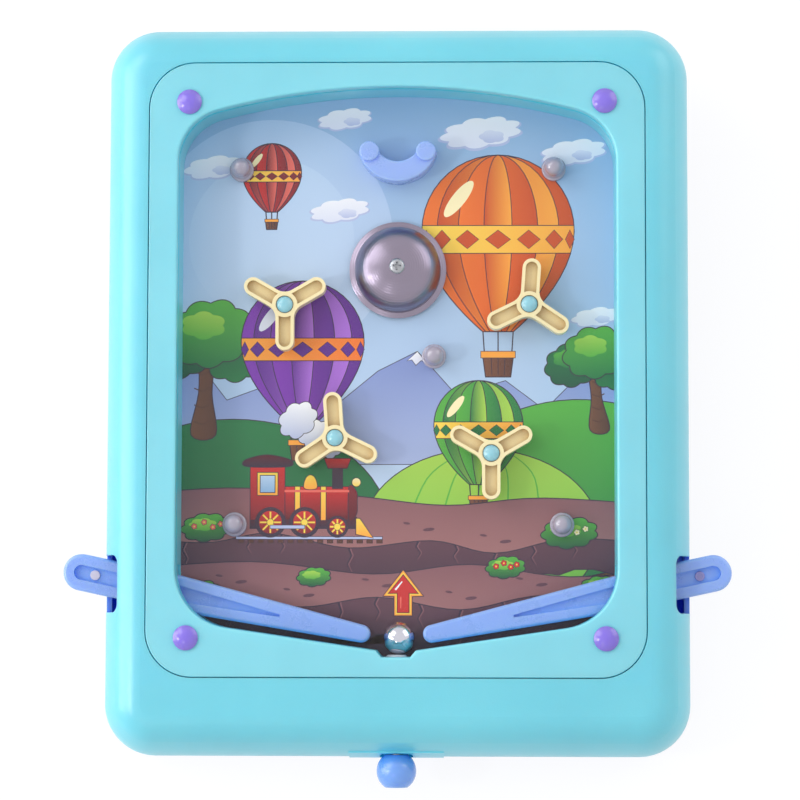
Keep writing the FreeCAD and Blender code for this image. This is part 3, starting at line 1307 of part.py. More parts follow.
def catch_cup():
    """Crescent that opens to the far end, with a round post at each horn."""
    body = new_body("catch_cup")
    outer_y = CUP_FRONT + S.cup_radius
    inner_y = CUP_INNER_FRONT + S.cup_inner_radius
    outer_x = root(S.cup_radius * S.cup_radius - (outer_y - CUP_POST_Y) * (outer_y - CUP_POST_Y))
    inner_x = root(S.cup_inner_radius * S.cup_inner_radius
                   - (inner_y - CUP_POST_Y) * (inner_y - CUP_POST_Y))
    crescent = new_sketch(body, "crescent", height=PRINT_TOP)
    add_outline(crescent, [(-outer_x, CUP_POST_Y), (outer_x, CUP_POST_Y), (inner_x, CUP_POST_Y),
                           (-inner_x, CUP_POST_Y)], {0: (S.cup_radius, 1), 2: (S.cup_inner_radius, -1)})
    pad(body, crescent, S.cup_height, "crescent_pad")
    low, high = (PRINT_TOP + S.cup_height).value, (PRINT_TOP + S.cup_post_height).value
    round_edges(body, S.cup_edge, "crescent_round", lambda p: near(p.z, low))
    posts = new_sketch(body, "posts", height=PRINT_TOP)
    add_circles(posts, cup_post_places(), S.cup_post_radius)
    pad(body, posts, S.cup_post_height, "post_pads")
    round_edges(body, S.cup_edge, "post_round", lambda p: near(p.z, high))
    cores = new_sketch(body, "cores", height=PRINT_TOP)
    add_circles(cores, cup_post_places(), S.screw_shank + S.screw_core)
    pocket(body, cores, S.cup_height - S.cup_post_radius, "core_pocket", upwards=True)


def ball():
    """Steel ball at rest in the notch, before the striker."""
    poles = [(0, AXIS_HEIGHT - BALL_RADIUS), (0, AXIS_HEIGHT + BALL_RADIUS)]
    turned_profile("ball", poles, {0: (BALL_RADIUS, 1)}, (S.ball_side, -BALL_FRONT))


# Caps, screws and feet


def screw_cap(index, place):
    """Purple domed cap whose plug fills the seat over a bezel screw."""
    top = S.case_height + S.cap_dome
    low = S.case_height - S.cap_plug_depth
    turned_profile(f"screw_cap_{index}", [
        (0, low), (S.cap_plug, low), (S.cap_plug, S.case_height), (S.cap_radius, S.case_height),
        (S.cap_radius, S.case_height + S.cap_rim), (0, top),
    ], {4: (dome_radius(S.cap_radius, S.cap_dome - S.cap_rim), 1)}, place)


def screw_solid(shank_radius, head_radius, head_height, length):
    """A pan-head screw that points down, its head's seat at the origin."""
    edge = head_height * HEAD_EDGE_SHARE
    crown = head_radius * (1 - HEAD_EDGE_SHARE)
    profile = Part.makePolygon([
        Vector(0, 0, -length), Vector(shank_radius, 0, shank_radius - length), Vector(shank_radius, 0, 0),
        Vector(head_radius, 0, 0), Vector(head_radius, 0, edge), Vector(crown, 0, head_height),
        Vector(0, 0, head_height), Vector(0, 0, -length),
    ])
    return Part.Face(profile).revolve(Vector(), Vector(0, 0, 1), 360)


def screw_group(label, places, height, length, upside_down):
    """Equal screws in one piece, as a group of separate solids."""
    solid = screw_solid(S.screw_shank.value, S.screw_head.value, S.screw_head_height.value, length.value)
    if upside_down:
        solid.rotate(Vector(), Vector(1, 0, 0), 180)
    solids = []
    for x, y in places:
        copy = solid.copy()
        copy.translate(Vector(Size.of(x).value, Size.of(y).value, height.value))
        solids.append(copy)
    plain_piece(label, Part.makeCompound(solids), Placement())


def screws():
    """Screws of the bezel, the shells, the board and the catch cup."""
    screw_group("bezel_screws", screw_places(), BEZEL_BOTTOM + S.bezel_seat, S.screw_length, False)
    screw_group("case_screws", case_screw_places(), S.counterbore_depth,
                SHELL_HEIGHT - S.counterbore_depth + CASE_SCREW_HOLE - S.seat_gap, True)
    screw_group("board_screws", board_screw_places(), BOARD_BOTTOM,
                PRINT_TOP - BOARD_BOTTOM + S.board_screw_length - S.seat_gap, True)
    screw_group("cup_screws", cup_post_places(), BOARD_BOTTOM,
                PRINT_TOP - BOARD_BOTTOM + S.cup_height - S.cup_post_radius - S.seat_gap, True)


def floor_at(y):
    """The floor's height in the flat cabinet's frame at a place along it."""
    lift = HALF_LENGTH * sine(S.slope_angle) + S.front_lift
    return -((y * sine(S.slope_angle) + lift) / cosine(S.slope_angle))


def foot(name, side):
    """Tall rear foot: a tapered block, hollow from below, with two pegs into the shell's floor."""
    body = new_body(f"rear_foot_{name}")
    back = HALF_LENGTH - S.foot_setback
    front = back - S.foot_depth
    low_back, low_front = back - S.foot_taper, front + S.foot_taper
    left, right = side * FOOT_OFFSET - S.foot_width / 2, side * FOOT_OFFSET + S.foot_width / 2
    side_view = new_sketch(body, "side_view", "YZ_Plane", left)
    add_outline(side_view, [(low_front, floor_at(low_front)), (low_back, floor_at(low_back)),
                            (back, 0), (front, 0)])
    pad(body, side_view, S.foot_width, "block")

    def upright(point):
        """Whether a point lies on one of the four slanted corners."""
        lean = point.z / floor_at(back).value * S.foot_taper.value
        beside = near(point.x, left.value) or near(point.x, right.value)
        ends = (back.value - lean, front.value + lean)
        return beside and any(near(point.y, end, S.small_edge.value) for end in ends)

    round_edges(body, S.foot_edge, "upright_round", upright)
    hollow = new_sketch(body, "hollow", height=-S.foot_wall)
    inset = S.foot_wall + S.foot_taper
    add_box(hollow, left + S.foot_wall, right - S.foot_wall, front + inset, back - inset)
    pocket(body, hollow, -floor_at(back), "hollow_pocket")
    pegs = new_sketch(body, "pegs")
    add_circles(pegs, foot_peg_places(side), S.foot_peg_radius)
    pad(body, pegs, S.foot_peg_length, "peg_pads")


def foot_pad(name, side):
    """Thin rubber pad in a shallow seat under the front edge."""
    body = new_body(f"front_pad_{name}")
    front = S.pad_setback - HALF_LENGTH
    back = front + S.pad_depth
    side_view = new_sketch(body, "side_view", "YZ_Plane", side * FOOT_OFFSET - S.pad_width / 2)
    add_outline(side_view, [(front, floor_at(front)), (back, floor_at(back)), (back, S.pad_sink),
                            (front, S.pad_sink)])
    pad(body, side_view, S.pad_width, "block")


# The whole game


def build_all():
    """Every piece of the game, from the shells inwards."""
    lower_shell()
    upper_housing()
    bezel()
    clear_cover()
    playfield_board()
    playfield_print()
    for name, side in (("left", -1), ("right", 1)):
        flipper(name, side)
        pivot_pin(name, side)
        flipper_spring(name, side)
        foot(name, side)
        foot_pad(name, side)
    plunger()
    plunger_guide()
    plunger_spring()
    bell()
    for index, (place, first_arm) in enumerate(zip(spinner_places(), SPINNER_FIRST_ARM), start=1):
        spinner(index, place, first_arm)
        spinner_pin(index, place)
    for index, place in enumerate(peg_places(), start=1):
        peg(index, place)
    catch_cup()
    ball()
    for index, place in enumerate(screw_places(), start=1):
        screw_cap(index, place)
    screws()


def write_all():
    """Check every object and every piece, then write one file per piece."""
    doc.recompute()
    failed = [o.Name for o in doc.Objects if "Invalid" in o.State or "Error" in o.State]
    if failed:
        raise ValueError(f"these objects failed: {failed}")
    os.makedirs("parts", exist_ok=True)
    for piece in pieces:
        shape = piece.Shape
        if shape.isNull() or not shape.isValid() or not shape.Solids:
            raise ValueError(f"{piece.Label} has no valid solid")
        shape.exportStep(f"parts/{piece.Label}.step")
        print(f"{piece.Label}: {len(shape.Solids)} solid(s), {shape.Volume:.1f} mm3")


build_all()
write_all()
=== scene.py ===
"""Looks of a child's tabletop pinball game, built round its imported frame. Lengths are in metres.

The picture on the playfield is drawn in millimetres on the sheet's own plane, and scaled at the end.
"""
import json
import logging
import math
from dataclasses import dataclass, field
from enum import Enum
from typing import Union

import bmesh
import bpy
from mathutils import Matrix, Vector
from mathutils.geometry import delaunay_2d_cdt


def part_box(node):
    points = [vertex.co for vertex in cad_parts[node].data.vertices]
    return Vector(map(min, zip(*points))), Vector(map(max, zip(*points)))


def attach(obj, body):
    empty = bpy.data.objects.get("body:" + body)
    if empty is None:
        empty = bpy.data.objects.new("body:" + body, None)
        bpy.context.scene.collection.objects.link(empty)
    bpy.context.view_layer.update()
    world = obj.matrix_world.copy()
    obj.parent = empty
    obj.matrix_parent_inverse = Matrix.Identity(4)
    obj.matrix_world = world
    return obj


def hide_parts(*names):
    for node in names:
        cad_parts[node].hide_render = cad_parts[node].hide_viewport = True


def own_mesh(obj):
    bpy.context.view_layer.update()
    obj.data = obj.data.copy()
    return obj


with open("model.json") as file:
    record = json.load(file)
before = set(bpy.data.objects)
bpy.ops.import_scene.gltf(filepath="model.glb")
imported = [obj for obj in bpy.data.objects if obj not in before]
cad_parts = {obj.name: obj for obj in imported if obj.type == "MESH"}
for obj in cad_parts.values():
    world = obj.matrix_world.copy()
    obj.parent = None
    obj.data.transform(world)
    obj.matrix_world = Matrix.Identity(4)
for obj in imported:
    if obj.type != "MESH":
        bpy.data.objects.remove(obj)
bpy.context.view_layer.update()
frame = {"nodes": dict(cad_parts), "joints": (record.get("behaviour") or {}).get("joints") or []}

log = logging.getLogger("pinball_game")

MM = 0.001
WHITE = (1.0, 1.0, 1.0, 1.0)
SLOPE = math.radians(5.0)
Spot = tuple[float, float]
Spot3 = tuple[float, float, float]
Outline = list[Spot]
Bytes = tuple[int, int, int]
Operand = Union["Value", float]


def linear(colour: Bytes) -> tuple[float, float, float, float]:
    """Linear light of a colour that is given as it looks.

    Args:
        colour: Red, green and blue as bytes.

    Returns:
        The same colour for a shader's socket.
    """
    shares = (byte / 255 for byte in colour)
    return (*(s / 12.92 if s <= 0.04045 else ((s + 0.055) / 1.055) ** 2.4 for s in shares), 1.0)


class Ink(Enum):
    """Inks of the printed picture."""

    LINE = (52, 38, 60)
    SKY_HIGH = (140, 180, 218)
    SKY_LOW = (190, 211, 239)
    HAZE = (176, 203, 235)
    HAZE_LIGHT = (188, 212, 240)
    WHITE = (246, 247, 252)
    CLOUD = (225, 229, 246)
    CLOUD_SHADE = (184, 194, 229)
    PEAK = (128, 146, 203)
    PEAK_LOW = (167, 182, 222)
    ORANGE = (240, 118, 44)
    ORANGE_DEEP = (203, 78, 32)
    AMBER = (252, 166, 64)
    YELLOW = (250, 216, 84)
    CREAM = (255, 240, 190)
    PURPLE = (128, 56, 176)
    PURPLE_DEEP = (92, 36, 138)
    LILAC = (172, 112, 214)
    MAROON = (126, 30, 42)
    MAROON_DEEP = (86, 20, 34)
    RED = (205, 44, 44)
    ROSE = (232, 108, 96)
    GREEN = (88, 176, 66)
    GREEN_DEEP = (32, 118, 66)
    GREEN_DARK = (18, 82, 58)
    LIME = (170, 212, 82)
    STONE = (132, 86, 94)
    STONE_LIGHT = (158, 108, 108)
    STONE_DEEP = (98, 62, 76)
    STONE_DARK = (66, 42, 60)
    TRUNK = (122, 76, 54)
    TRUNK_DEEP = (88, 52, 42)


# Drawing on the sheet's plane, in millimetres


def ellipse(x: float, y: float, wide: float, high: float, turn: float = 0.0, count: int = 36) -> Outline:
    """A closed ellipse.

    Args:
        x: Centre across.
        y: Centre along.
        wide: Half width before it is turned.
        high: Half height before it is turned.
        turn: Turn in degrees, against the clock.
        count: Number of spots.

    Returns:
        Its outline.
    """
    angles = (math.tau * step / count for step in range(count))
    return placed([(wide * math.cos(a), high * math.sin(a)) for a in angles], x, y, turn=turn)


def placed(outline: Outline, x: float, y: float, scale: float = 1.0, turn: float = 0.0) -> Outline:
    """The outline scaled, turned by degrees about its origin and then moved to x and y."""
    c, s = scale * math.cos(math.radians(turn)), scale * math.sin(math.radians(turn))
    return [(x + c * u - s * v, y + s * u + c * v) for u, v in outline]


def box(left: float, low: float, right: float, high: float) -> Outline:
    """A rectangle from its sides."""
    return [(left, low), (right, low), (right, high), (left, high)]


def smooth(spots: Outline, steps: int = 6) -> Outline:
    """A closed smooth curve through spots.

    Args:
        spots: What the curve passes through.
        steps: Pieces between two spots.

    Returns:
        Its outline.
    """
    made = []
    for index in range(len(spots)):
        before, first, last, after = (Vector(spots[(index + k) % len(spots)]) for k in (-1, 0, 1, 2))
        for step in range(steps):
            t = step / steps
            run = (last - before) * t + (before * 2 - first * 5 + last * 4 - after) * t ** 2
            run += (first * 3 - before - last * 3 + after) * t ** 3
            made.append(tuple(first + run / 2))
    return made


def lobed(x: float, y: float, wide: float, high: float, lobes: int, depth: float,
          turn: float = 0.0) -> Outline:
    """An ellipse with round lobes, as clouds and bushes have.

    Args:
        x: Centre across.
        y: Centre along.
        wide: Half width inside the lobes.
        high: Half height inside the lobes.
        lobes: Number of lobes.
        depth: How far they stand out, as a share of the ellipse.
        turn: Turn in degrees.

    Returns:
        Its outline.
    """
    made, count = [], 8 * lobes
    for step in range(count):
        angle = math.tau * step / count
        reach = 1 + depth * abs(math.sin(lobes * angle / 2))
        made.append((wide * reach * math.cos(angle), high * reach * math.sin(angle)))
    return placed(made, x, y, turn=turn)


def ribbon(spots: Outline, width: float, tip: float = 1.0) -> Outline:
    """A band along an open line.

    Args:
        spots: The line.
        width: Its width at the start.
        tip: Its width at the end, as a share of the start's.

    Returns:
        Its outline.
    """
    left, right = [], []
    for index, spot in enumerate(spots):
        before, after = Vector(spots[max(index - 1, 0)]), Vector(spots[min(index + 1, len(spots) - 1)])
        way = (after - before).normalized()
        half = width / 2 * (1 + (tip - 1) * index / (len(spots) - 1))
        left.append((spot[0] - way.y * half, spot[1] + way.x * half))
        right.append((spot[0] + way.y * half, spot[1] - way.x * half))
    return left + right[::-1]


def swept_area(outline: Outline) -> float:
    """Twice the outline's area, negative where it runs with the clock."""
    return sum(a[0] * b[1] - a[1] * b[0] for a, b in zip(outline, outline[1:] + outline[:1]))


def grown(outline: Outline, width: float) -> Outline:
    """The outline moved outwards by a width.

    Args:
        outline: A closed outline, either way round.
        width: How far it grows.

    Returns:
        The grown outline.
    """
    spots = [Vector(spot) for spot in outline]
    side = math.copysign(width, swept_area(outline))
    made = []
    for before, spot, after in zip(spots[-1:] + spots[:-1], spots, spots[1:] + spots[:1]):
        first, last = (spot - before).normalized(), (after - spot).normalized()
        way = Vector((first.y + last.y, -first.x - last.x))
        if way.length > 0.05:
            way = way.normalized() / max(way.length / 2, 0.55)
        made.append(tuple(spot + way * side))
    return made


@dataclass
class Patch:
    """One inked shape, which may fade into a second ink from one side to the other."""

    outline: Outline
    ink: Ink
    fade: Ink
    heading: float

    def colours(self, spots: list[Vector]) -> list[tuple[float, ...]]:
        """The ink at spots inside the patch, as linear light.

        Args:
            spots: Places on the sheet.

        Returns:
            One colour for each spot.
        """
        way = Vector((math.cos(math.radians(self.heading)), math.sin(math.radians(self.heading))))
        reach = [Vector(spot).dot(way) for spot in self.outline]
        low, span = min(reach), max(max(reach) - min(reach), 1e-6)
        first, last = linear(self.ink.value), linear(self.fade.value)
        shares = (min(max((spot.dot(way) - low) / span, 0.0), 1.0) for spot in spots)
        return [tuple(a + (b - a) * share for a, b in zip(first, last)) for share in shares]


@dataclass
class Picture:
    """A printed picture: patches laid over each other on a sheet, and flattened into one mesh."""

    sheet: Outline
    line: float = 0.42
    patches: list[Patch] = field(default_factory=list)

    def paint(self, outline: Outline, ink: Ink, fade: Ink | None = None, heading: float = -90.0,
              line: float | None = None) -> None:
        """Lay a patch over the picture, with a dark line round it.

        Args:
            outline: Its outline.
            ink: Its ink.
            fade: The ink that it fades into.
            heading: Direction of the fade in degrees.
            line: Width of the dark line, 0 for none and the picture's own if left out.
        """
        width = self.line if line is None else line
        if width:
            self.patches.append(Patch(grown(outline, width), Ink.LINE, Ink.LINE, 0.0))
        self.patches.append(Patch(outline, ink, fade or ink, heading))

    def mesh(self, name: str, thickness: float) -> bpy.types.Mesh:
        """One closed sheet whose top is divided where the inks meet.

        Args:
            name: The mesh's name.
            thickness: Of the sheet, in millimetres.

        Returns:
            The mesh, in millimetres, with its inks in a corner attribute.
        """
        outlines = [self.sheet] + [patch.outline for patch in self.patches]
        spots, faces = [], []
        for outline in outlines:
            faces.append(list(range(len(spots), len(spots) + len(outline))))
            spots += [Vector(spot) for spot in (outline if swept_area(outline) > 0 else outline[::-1])]
        flat, _, triangles, _, _, owners = delaunay_2d_cdt(spots, [], faces, 1, 1e-5)
        sheet = bmesh.new()
        inks = sheet.loops.layers.float_color.new("inks")
        corners = [sheet.verts.new((spot.x, spot.y, thickness)) for spot in flat]
        for triangle, owner in zip(triangles, owners):
            if 0 not in owner or max(owner) == 0:
                continue
            face = sheet.faces.new([corners[index] for index in triangle])
            patch = self.patches[max(owner) - 1]
            for loop, colour in zip(face.loops, patch.colours([flat[index] for index in triangle])):
                loop[inks] = colour
        bmesh.ops.delete(sheet, geom=[v for v in sheet.verts if not v.link_faces], context="VERTS")
        rim = [edge for edge in sheet.edges if edge.is_boundary]
        sides = bmesh.ops.extrude_edge_only(sheet, edges=rim)["geom"]
        lower = [item for item in sides if isinstance(item, bmesh.types.BMVert)]
        for vertex in lower:
            vertex.co.z = 0.0
        bottom = [edge for edge in sheet.edges if edge.is_boundary]
        bmesh.ops.contextual_create(sheet, geom=bottom)
        bmesh.ops.recalc_face_normals(sheet, faces=sheet.faces)
        made = bpy.data.meshes.new(name)
        sheet.to_mesh(made)
        sheet.free()
        return made


# What the picture shows


@dataclass(frozen=True)
class Balloon:
    """A hot-air balloon with gores, a band, ropes and a basket."""

    x: float
    y: float
    radius: float
    inks: tuple[Ink, Ink, Ink]
    light: Ink
    band: tuple[Ink, Ink]
    gores: tuple[float, ...] = (1.0, 0.8, 0.52, 0.18)
    neck: float = -1.34

    def half(self, v: float) -> float:
        """Half width at a height, both as shares of the radius."""
        return math.sqrt(max(1 - v * v, 0.0)) if v >= 0 else 1 - 0.8 * (v / self.neck) ** 1.9

    def outline(self, share: float, top: float = 1.0, low: float | None = None) -> Outline:
        """The envelope between two heights, narrowed to a share of its width.

        Args:
            share: Of its width.
            top: The upper height, as a share of the radius.
            low: The lower height, the neck's if left out.

        Returns:
            Its outline.
        """
        low = self.neck if low is None else low
        heights = [top + (low - top) * (1 - math.cos(math.pi * k / 24)) / 2 for k in range(25)]
        right = [(self.x + share * self.radius * self.half(v), self.y + self.radius * v) for v in heights]
        left = [(2 * self.x - u, v) for u, v in reversed(right)]
        if top >= 1.0:
            left.pop()
        return right + left

    def draw(self, picture: Picture) -> None:
        """Lay the balloon on the picture.

        Args:
            picture: What it is drawn on.
        """
        base = self.y + self.radius * self.neck
        size = self.radius * 0.2
        for side in (-1, 0, 1):
            rope = [(self.x + side * size, base), (self.x + side * size * 0.9, base - size * 1.5)]
            picture.paint(ribbon(rope, 0.5), Ink.LINE, line=0)
        for index, share in enumerate(self.gores):
            dark, light = (self.inks[0], self.inks[1]) if index % 2 == 0 else (self.inks[2], self.inks[0])
            picture.paint(self.outline(share), light, dark, heading=0.0, line=0.34 if index else None)
        picture.paint(self.outline(1.0, 0.06, -0.3), self.band[0], self.band[1], heading=0.0, line=0.34)
        reach = self.radius * self.half(0.06)
        for degrees in range(-72, 73, 24):
            x = self.x + reach * math.sin(math.radians(degrees))
            wide = reach * 0.15 * math.cos(math.radians(degrees)) + 0.3
            spots = [(x - wide, self.y - 0.12 * self.radius), (x, self.y - 0.24 * self.radius),
                     (x + wide, self.y - 0.12 * self.radius), (x, self.y)]
            picture.paint(spots, self.inks[0], line=0.2)
        shine = ellipse(self.x - 0.52 * self.radius, self.y + 0.42 * self.radius, 0.09 * self.radius,
                        0.3 * self.radius, turn=-38)
        picture.paint(shine, self.light, line=0)
        basket = [(self.x - size, base - size * 1.5), (self.x - size * 0.8, base - size * 3),
                  (self.x + size * 0.8, base - size * 3), (self.x + size, base - size * 1.5)]
        picture.paint(basket, Ink.TRUNK, Ink.TRUNK_DEEP, heading=0.0)
        rim = box(self.x - size * 1.12, base - size * 1.75, self.x + size * 1.12, base - size * 1.35)
        picture.paint(rim, Ink.AMBER, line=0.25)
        for share in (-0.45, 0.0, 0.45):
            weave = [(self.x + share * size, base - size * 1.8),
                     (self.x + share * size * 0.9, base - size * 2.9)]
            picture.paint(ribbon(weave, 0.3), Ink.LINE, line=0)


@dataclass(frozen=True)
class Cloud:
    """A cloud with a lit top and a shaded foot."""

    x: float
    y: float
    wide: float
    lobes: int = 9

    def draw(self, picture: Picture) -> None:
        """Lay the cloud on the picture.

        Args:
            picture: What it is drawn on.
        """
        high = self.wide * 0.38
        picture.paint(lobed(self.x, self.y, self.wide, high, self.lobes, 0.2, 8), Ink.CLOUD_SHADE, line=0)
        body = lobed(self.x, self.y + 0.1 * high, self.wide * 0.95, high * 0.93, self.lobes, 0.2, 8)
        picture.paint(body, Ink.WHITE, Ink.CLOUD, line=0)
        curl = lobed(self.x + 0.3 * self.wide, self.y - 0.2 * high, self.wide * 0.3, high * 0.4, 5, 0.2)
        picture.paint(curl, Ink.CLOUD, Ink.CLOUD_SHADE, line=0)


@dataclass(frozen=True)
class Tree:
    """A round-headed tree."""

    x: float
    y: float
    size: float
    lean: float = 0.0

    def draw(self, picture: Picture) -> None:
        """Lay the tree on the picture.

        Args:
            picture: What it is drawn on.
        """
        s, x, y = self.size, self.x, self.y
        trunk = smooth([(x - 0.13 * s, y), (x - 0.07 * s + self.lean / 2, y + 0.5 * s),
                        (x - 0.08 * s + self.lean, y + s), (x + 0.08 * s + self.lean, y + s),
                        (x + 0.08 * s + self.lean / 2, y + 0.5 * s), (x + 0.16 * s, y)], 5)
        picture.paint(trunk, Ink.TRUNK, Ink.TRUNK_DEEP, heading=0.0)
        for step in range(4):
            level = y + s * (0.16 + 0.2 * step)
            mark = [(x - 0.1 * s, level), (x, level - 0.04 * s), (x + 0.09 * s, level + 0.01 * s)]
            picture.paint(ribbon(mark, 0.5), Ink.TRUNK_DEEP, line=0)
        crowns = ((0.34, 0.98, 0.36, 0.3, Ink.GREEN_DARK, Ink.GREEN_DEEP),
                  (-0.34, 1.02, 0.38, 0.3, Ink.GREEN_DEEP, Ink.GREEN_DARK),
                  (0.03, 1.22, 0.46, 0.36, Ink.GREEN, Ink.GREEN_DEEP))
        for along, level, wide, high, ink, fade in crowns:
            centre = x + self.lean + along * s, y + level * s
            picture.paint(lobed(*centre, wide * s, high * s, 9, 0.14, 12), ink, fade)
            shine = lobed(centre[0] - 0.08 * s, centre[1] + 0.1 * s, wide * 0.5 * s, high * 0.4 * s, 6, 0.2)
            picture.paint(shine, Ink.LIME if ink is Ink.GREEN else Ink.GREEN, ink, line=0)


@dataclass(frozen=True)
class Bush:
    """A low bush, with small round flowers if they have an ink."""

    x: float
    y: float
    wide: float
    flowers: Ink | None = None

    def draw(self, picture: Picture) -> None:
        """Lay the bush on the picture.

        Args:
            picture: What it is drawn on.
        """
        high = self.wide * 0.55
        picture.paint(lobed(self.x, self.y, self.wide, high, 9, 0.16, 5), Ink.GREEN, Ink.GREEN_DARK)
        lit = lobed(self.x - 0.15 * self.wide, self.y + 0.25 * high, self.wide * 0.55, high * 0.45, 7, 0.18)
        picture.paint(lit, Ink.LIME, Ink.GREEN, line=0)
        if self.flowers:
            for across, up in ((-0.55, 0.1), (-0.1, 0.45), (0.3, 0.05), (0.65, 0.3)):
                spot = self.x + across * self.wide, self.y + up * high
                picture.paint(lobed(*spot, 0.85, 0.85, 5, 0.4), self.flowers, line=0.16)
                picture.paint(ellipse(*spot, 0.36, 0.36, count=10), Ink.YELLOW, line=0)


@dataclass(frozen=True)
class Terrace:
    """A shelf of rock: a lit top, and a cracked face below its front edge."""

    back: Outline
    front: Outline
    drop: float
    cracks: tuple[float, ...]

    def edge(self, share: float) -> Spot:
        """A spot of the front edge at a share of its length."""
        run = smooth_run(self.front)
        return run[min(int(share * (len(run) - 1)), len(run) - 1)]

    def draw(self, picture: Picture) -> None:
        """Lay the terrace on the picture.

        Args:
            picture: What it is drawn on.
        """
        front = smooth_run(self.front)
        foot = [(x, y - self.drop * (1 + 0.1 * math.sin(0.31 * x))) for x, y in reversed(front)]
        picture.paint(front + foot, Ink.STONE_DEEP, Ink.STONE_DARK)
        for index, share in enumerate(self.cracks):
            x, y = self.edge(share)
            sway = 1.3 if index % 2 else -1.3
            deep = self.drop * (0.62 if index % 3 else 0.85)
            line = [(x, y), (x + sway, y - 0.3 * deep), (x - 0.4 * sway, y - 0.62 * deep),
                    (x + sway, y - deep)]
            picture.paint(ribbon([(u + 0.7, v) for u, v in line], 0.7, 0.2), Ink.STONE, line=0)
            picture.paint(ribbon(line, 0.9, 0.15), Ink.LINE, line=0)
        picture.paint(front + smooth_run(self.back)[::-1], Ink.STONE, Ink.STONE_LIGHT)
        for share in self.cracks[::2]:
            x, y = self.edge(share)
            picture.paint(ellipse(x + 4, y + 4.5, 2.4, 0.7, 6, 18), Ink.STONE_DEEP, line=0)
            picture.paint(ellipse(x - 5, y + 7, 1.5, 0.5, -8, 14), Ink.STONE_DEEP, line=0)


def smooth_run(spots: Outline, steps: int = 6) -> Outline:
    """An open smooth line through spots, whose ends repeat."""
    closed = smooth([spots[0], *spots, spots[-1]], steps)
    return closed[steps:-2 * steps] + [spots[-1]]


@dataclass(frozen=True)
class Engine:
    """A small steam engine on its rails, its size given by its length."""

    x: float
    y: float
    length: float
    wheels: tuple[tuple[float, float], ...] = ((0.17, 0.125), (0.46, 0.125), (0.74, 0.088))

    def part(self, outline: Outline) -> Outline:
        """An outline given in shares of the length, put in its place."""
        return placed(outline, self.x, self.y, self.length)

    def draw(self, picture: Picture) -> None:
        """Lay the engine on the picture.

        Args:
            picture: What it is drawn on.
        """
        for step in range(15):
            left = -0.1 + 0.084 * step
            picture.paint(self.part(box(left, -0.045, left + 0.045, -0.005)), Ink.TRUNK_DEEP, line=0.2)
        picture.paint(self.part(box(-0.12, -0.012, 1.12, 0.006)), Ink.CLOUD_SHADE, line=0.25)
        for puff, (u, v, r) in enumerate(((0.66, 0.76, 0.075), (0.55, 0.88, 0.1), (0.4, 1.0, 0.12))):
            cloud = self.part(lobed(u, v, r * 1.25, r, 7, 0.2, 20 * puff))
            picture.paint(cloud, Ink.WHITE, Ink.CLOUD_SHADE, line=0.3)
        bodies = (
            (box(0.0, 0.08, 0.9, 0.17), Ink.MAROON_DEEP, Ink.LINE),
            (box(0.27, 0.15, 0.86, 0.43), Ink.RED, Ink.MAROON_DEEP),
            (box(0.38, 0.148, 0.42, 0.432), Ink.YELLOW, Ink.AMBER),
            (box(0.6, 0.148, 0.64, 0.432), Ink.YELLOW, Ink.AMBER),
            (smooth([(0.84, 0.15), (0.9, 0.2), (0.905, 0.3), (0.9, 0.39), (0.84, 0.43)]),
             Ink.MAROON, Ink.MAROON_DEEP),
            (box(0.0, 0.15, 0.29, 0.62), Ink.RED, Ink.MAROON),
            (box(0.06, 0.36, 0.23, 0.55), Ink.YELLOW, Ink.AMBER),
            (box(0.085, 0.385, 0.205, 0.525), Ink.HAZE_LIGHT, Ink.SKY_HIGH),
            (smooth([(-0.05, 0.61), (0.14, 0.6), (0.34, 0.61), (0.33, 0.66), (0.14, 0.7), (-0.04, 0.66)]),
             Ink.MAROON_DEEP, Ink.LINE),
            (box(0.7, 0.42, 0.78, 0.6), Ink.STONE_DARK, Ink.LINE),
            ([(0.66, 0.59), (0.82, 0.59), (0.85, 0.67), (0.63, 0.67)], Ink.RED, Ink.MAROON),
            (smooth([(0.46, 0.42), (0.47, 0.5), (0.51, 0.53), (0.55, 0.5), (0.56, 0.42)]),
             Ink.YELLOW, Ink.AMBER),
            ([(0.9, 0.03), (1.04, -0.0), (0.93, 0.16), (0.9, 0.16)], Ink.YELLOW, Ink.AMBER),
            (ellipse(0.9, 0.47, 0.035, 0.035), Ink.CREAM, Ink.YELLOW),
        )
        for outline, ink, fade in bodies:
            picture.paint(self.part(outline), ink, fade, line=0.32)
        picture.paint(self.part(box(0.29, 0.385, 0.84, 0.405)), Ink.ROSE, line=0)
        for centre, radius in self.wheels:
            hub = centre, radius + 0.004
            for share, ink, fade in ((1.0, Ink.STONE_DARK, Ink.LINE), (0.78, Ink.RED, Ink.MAROON)):
                ring = ellipse(*hub, radius * share, radius * share)
                picture.paint(self.part(ring), ink, fade, line=0.25)
            spoke = ribbon([(-radius * 0.72, 0.0), (radius * 0.72, 0.0)], 0.014)
            for degrees in range(0, 180, 45):
                picture.paint(self.part(placed(spoke, *hub, turn=degrees)), Ink.YELLOW, line=0)
            picture.paint(self.part(ellipse(*hub, 0.028, 0.028, count=14)), Ink.YELLOW, line=0.2)
        picture.paint(self.part(ribbon([(0.17, 0.09), (0.46, 0.09)], 0.026)), Ink.CLOUD_SHADE, line=0.22)


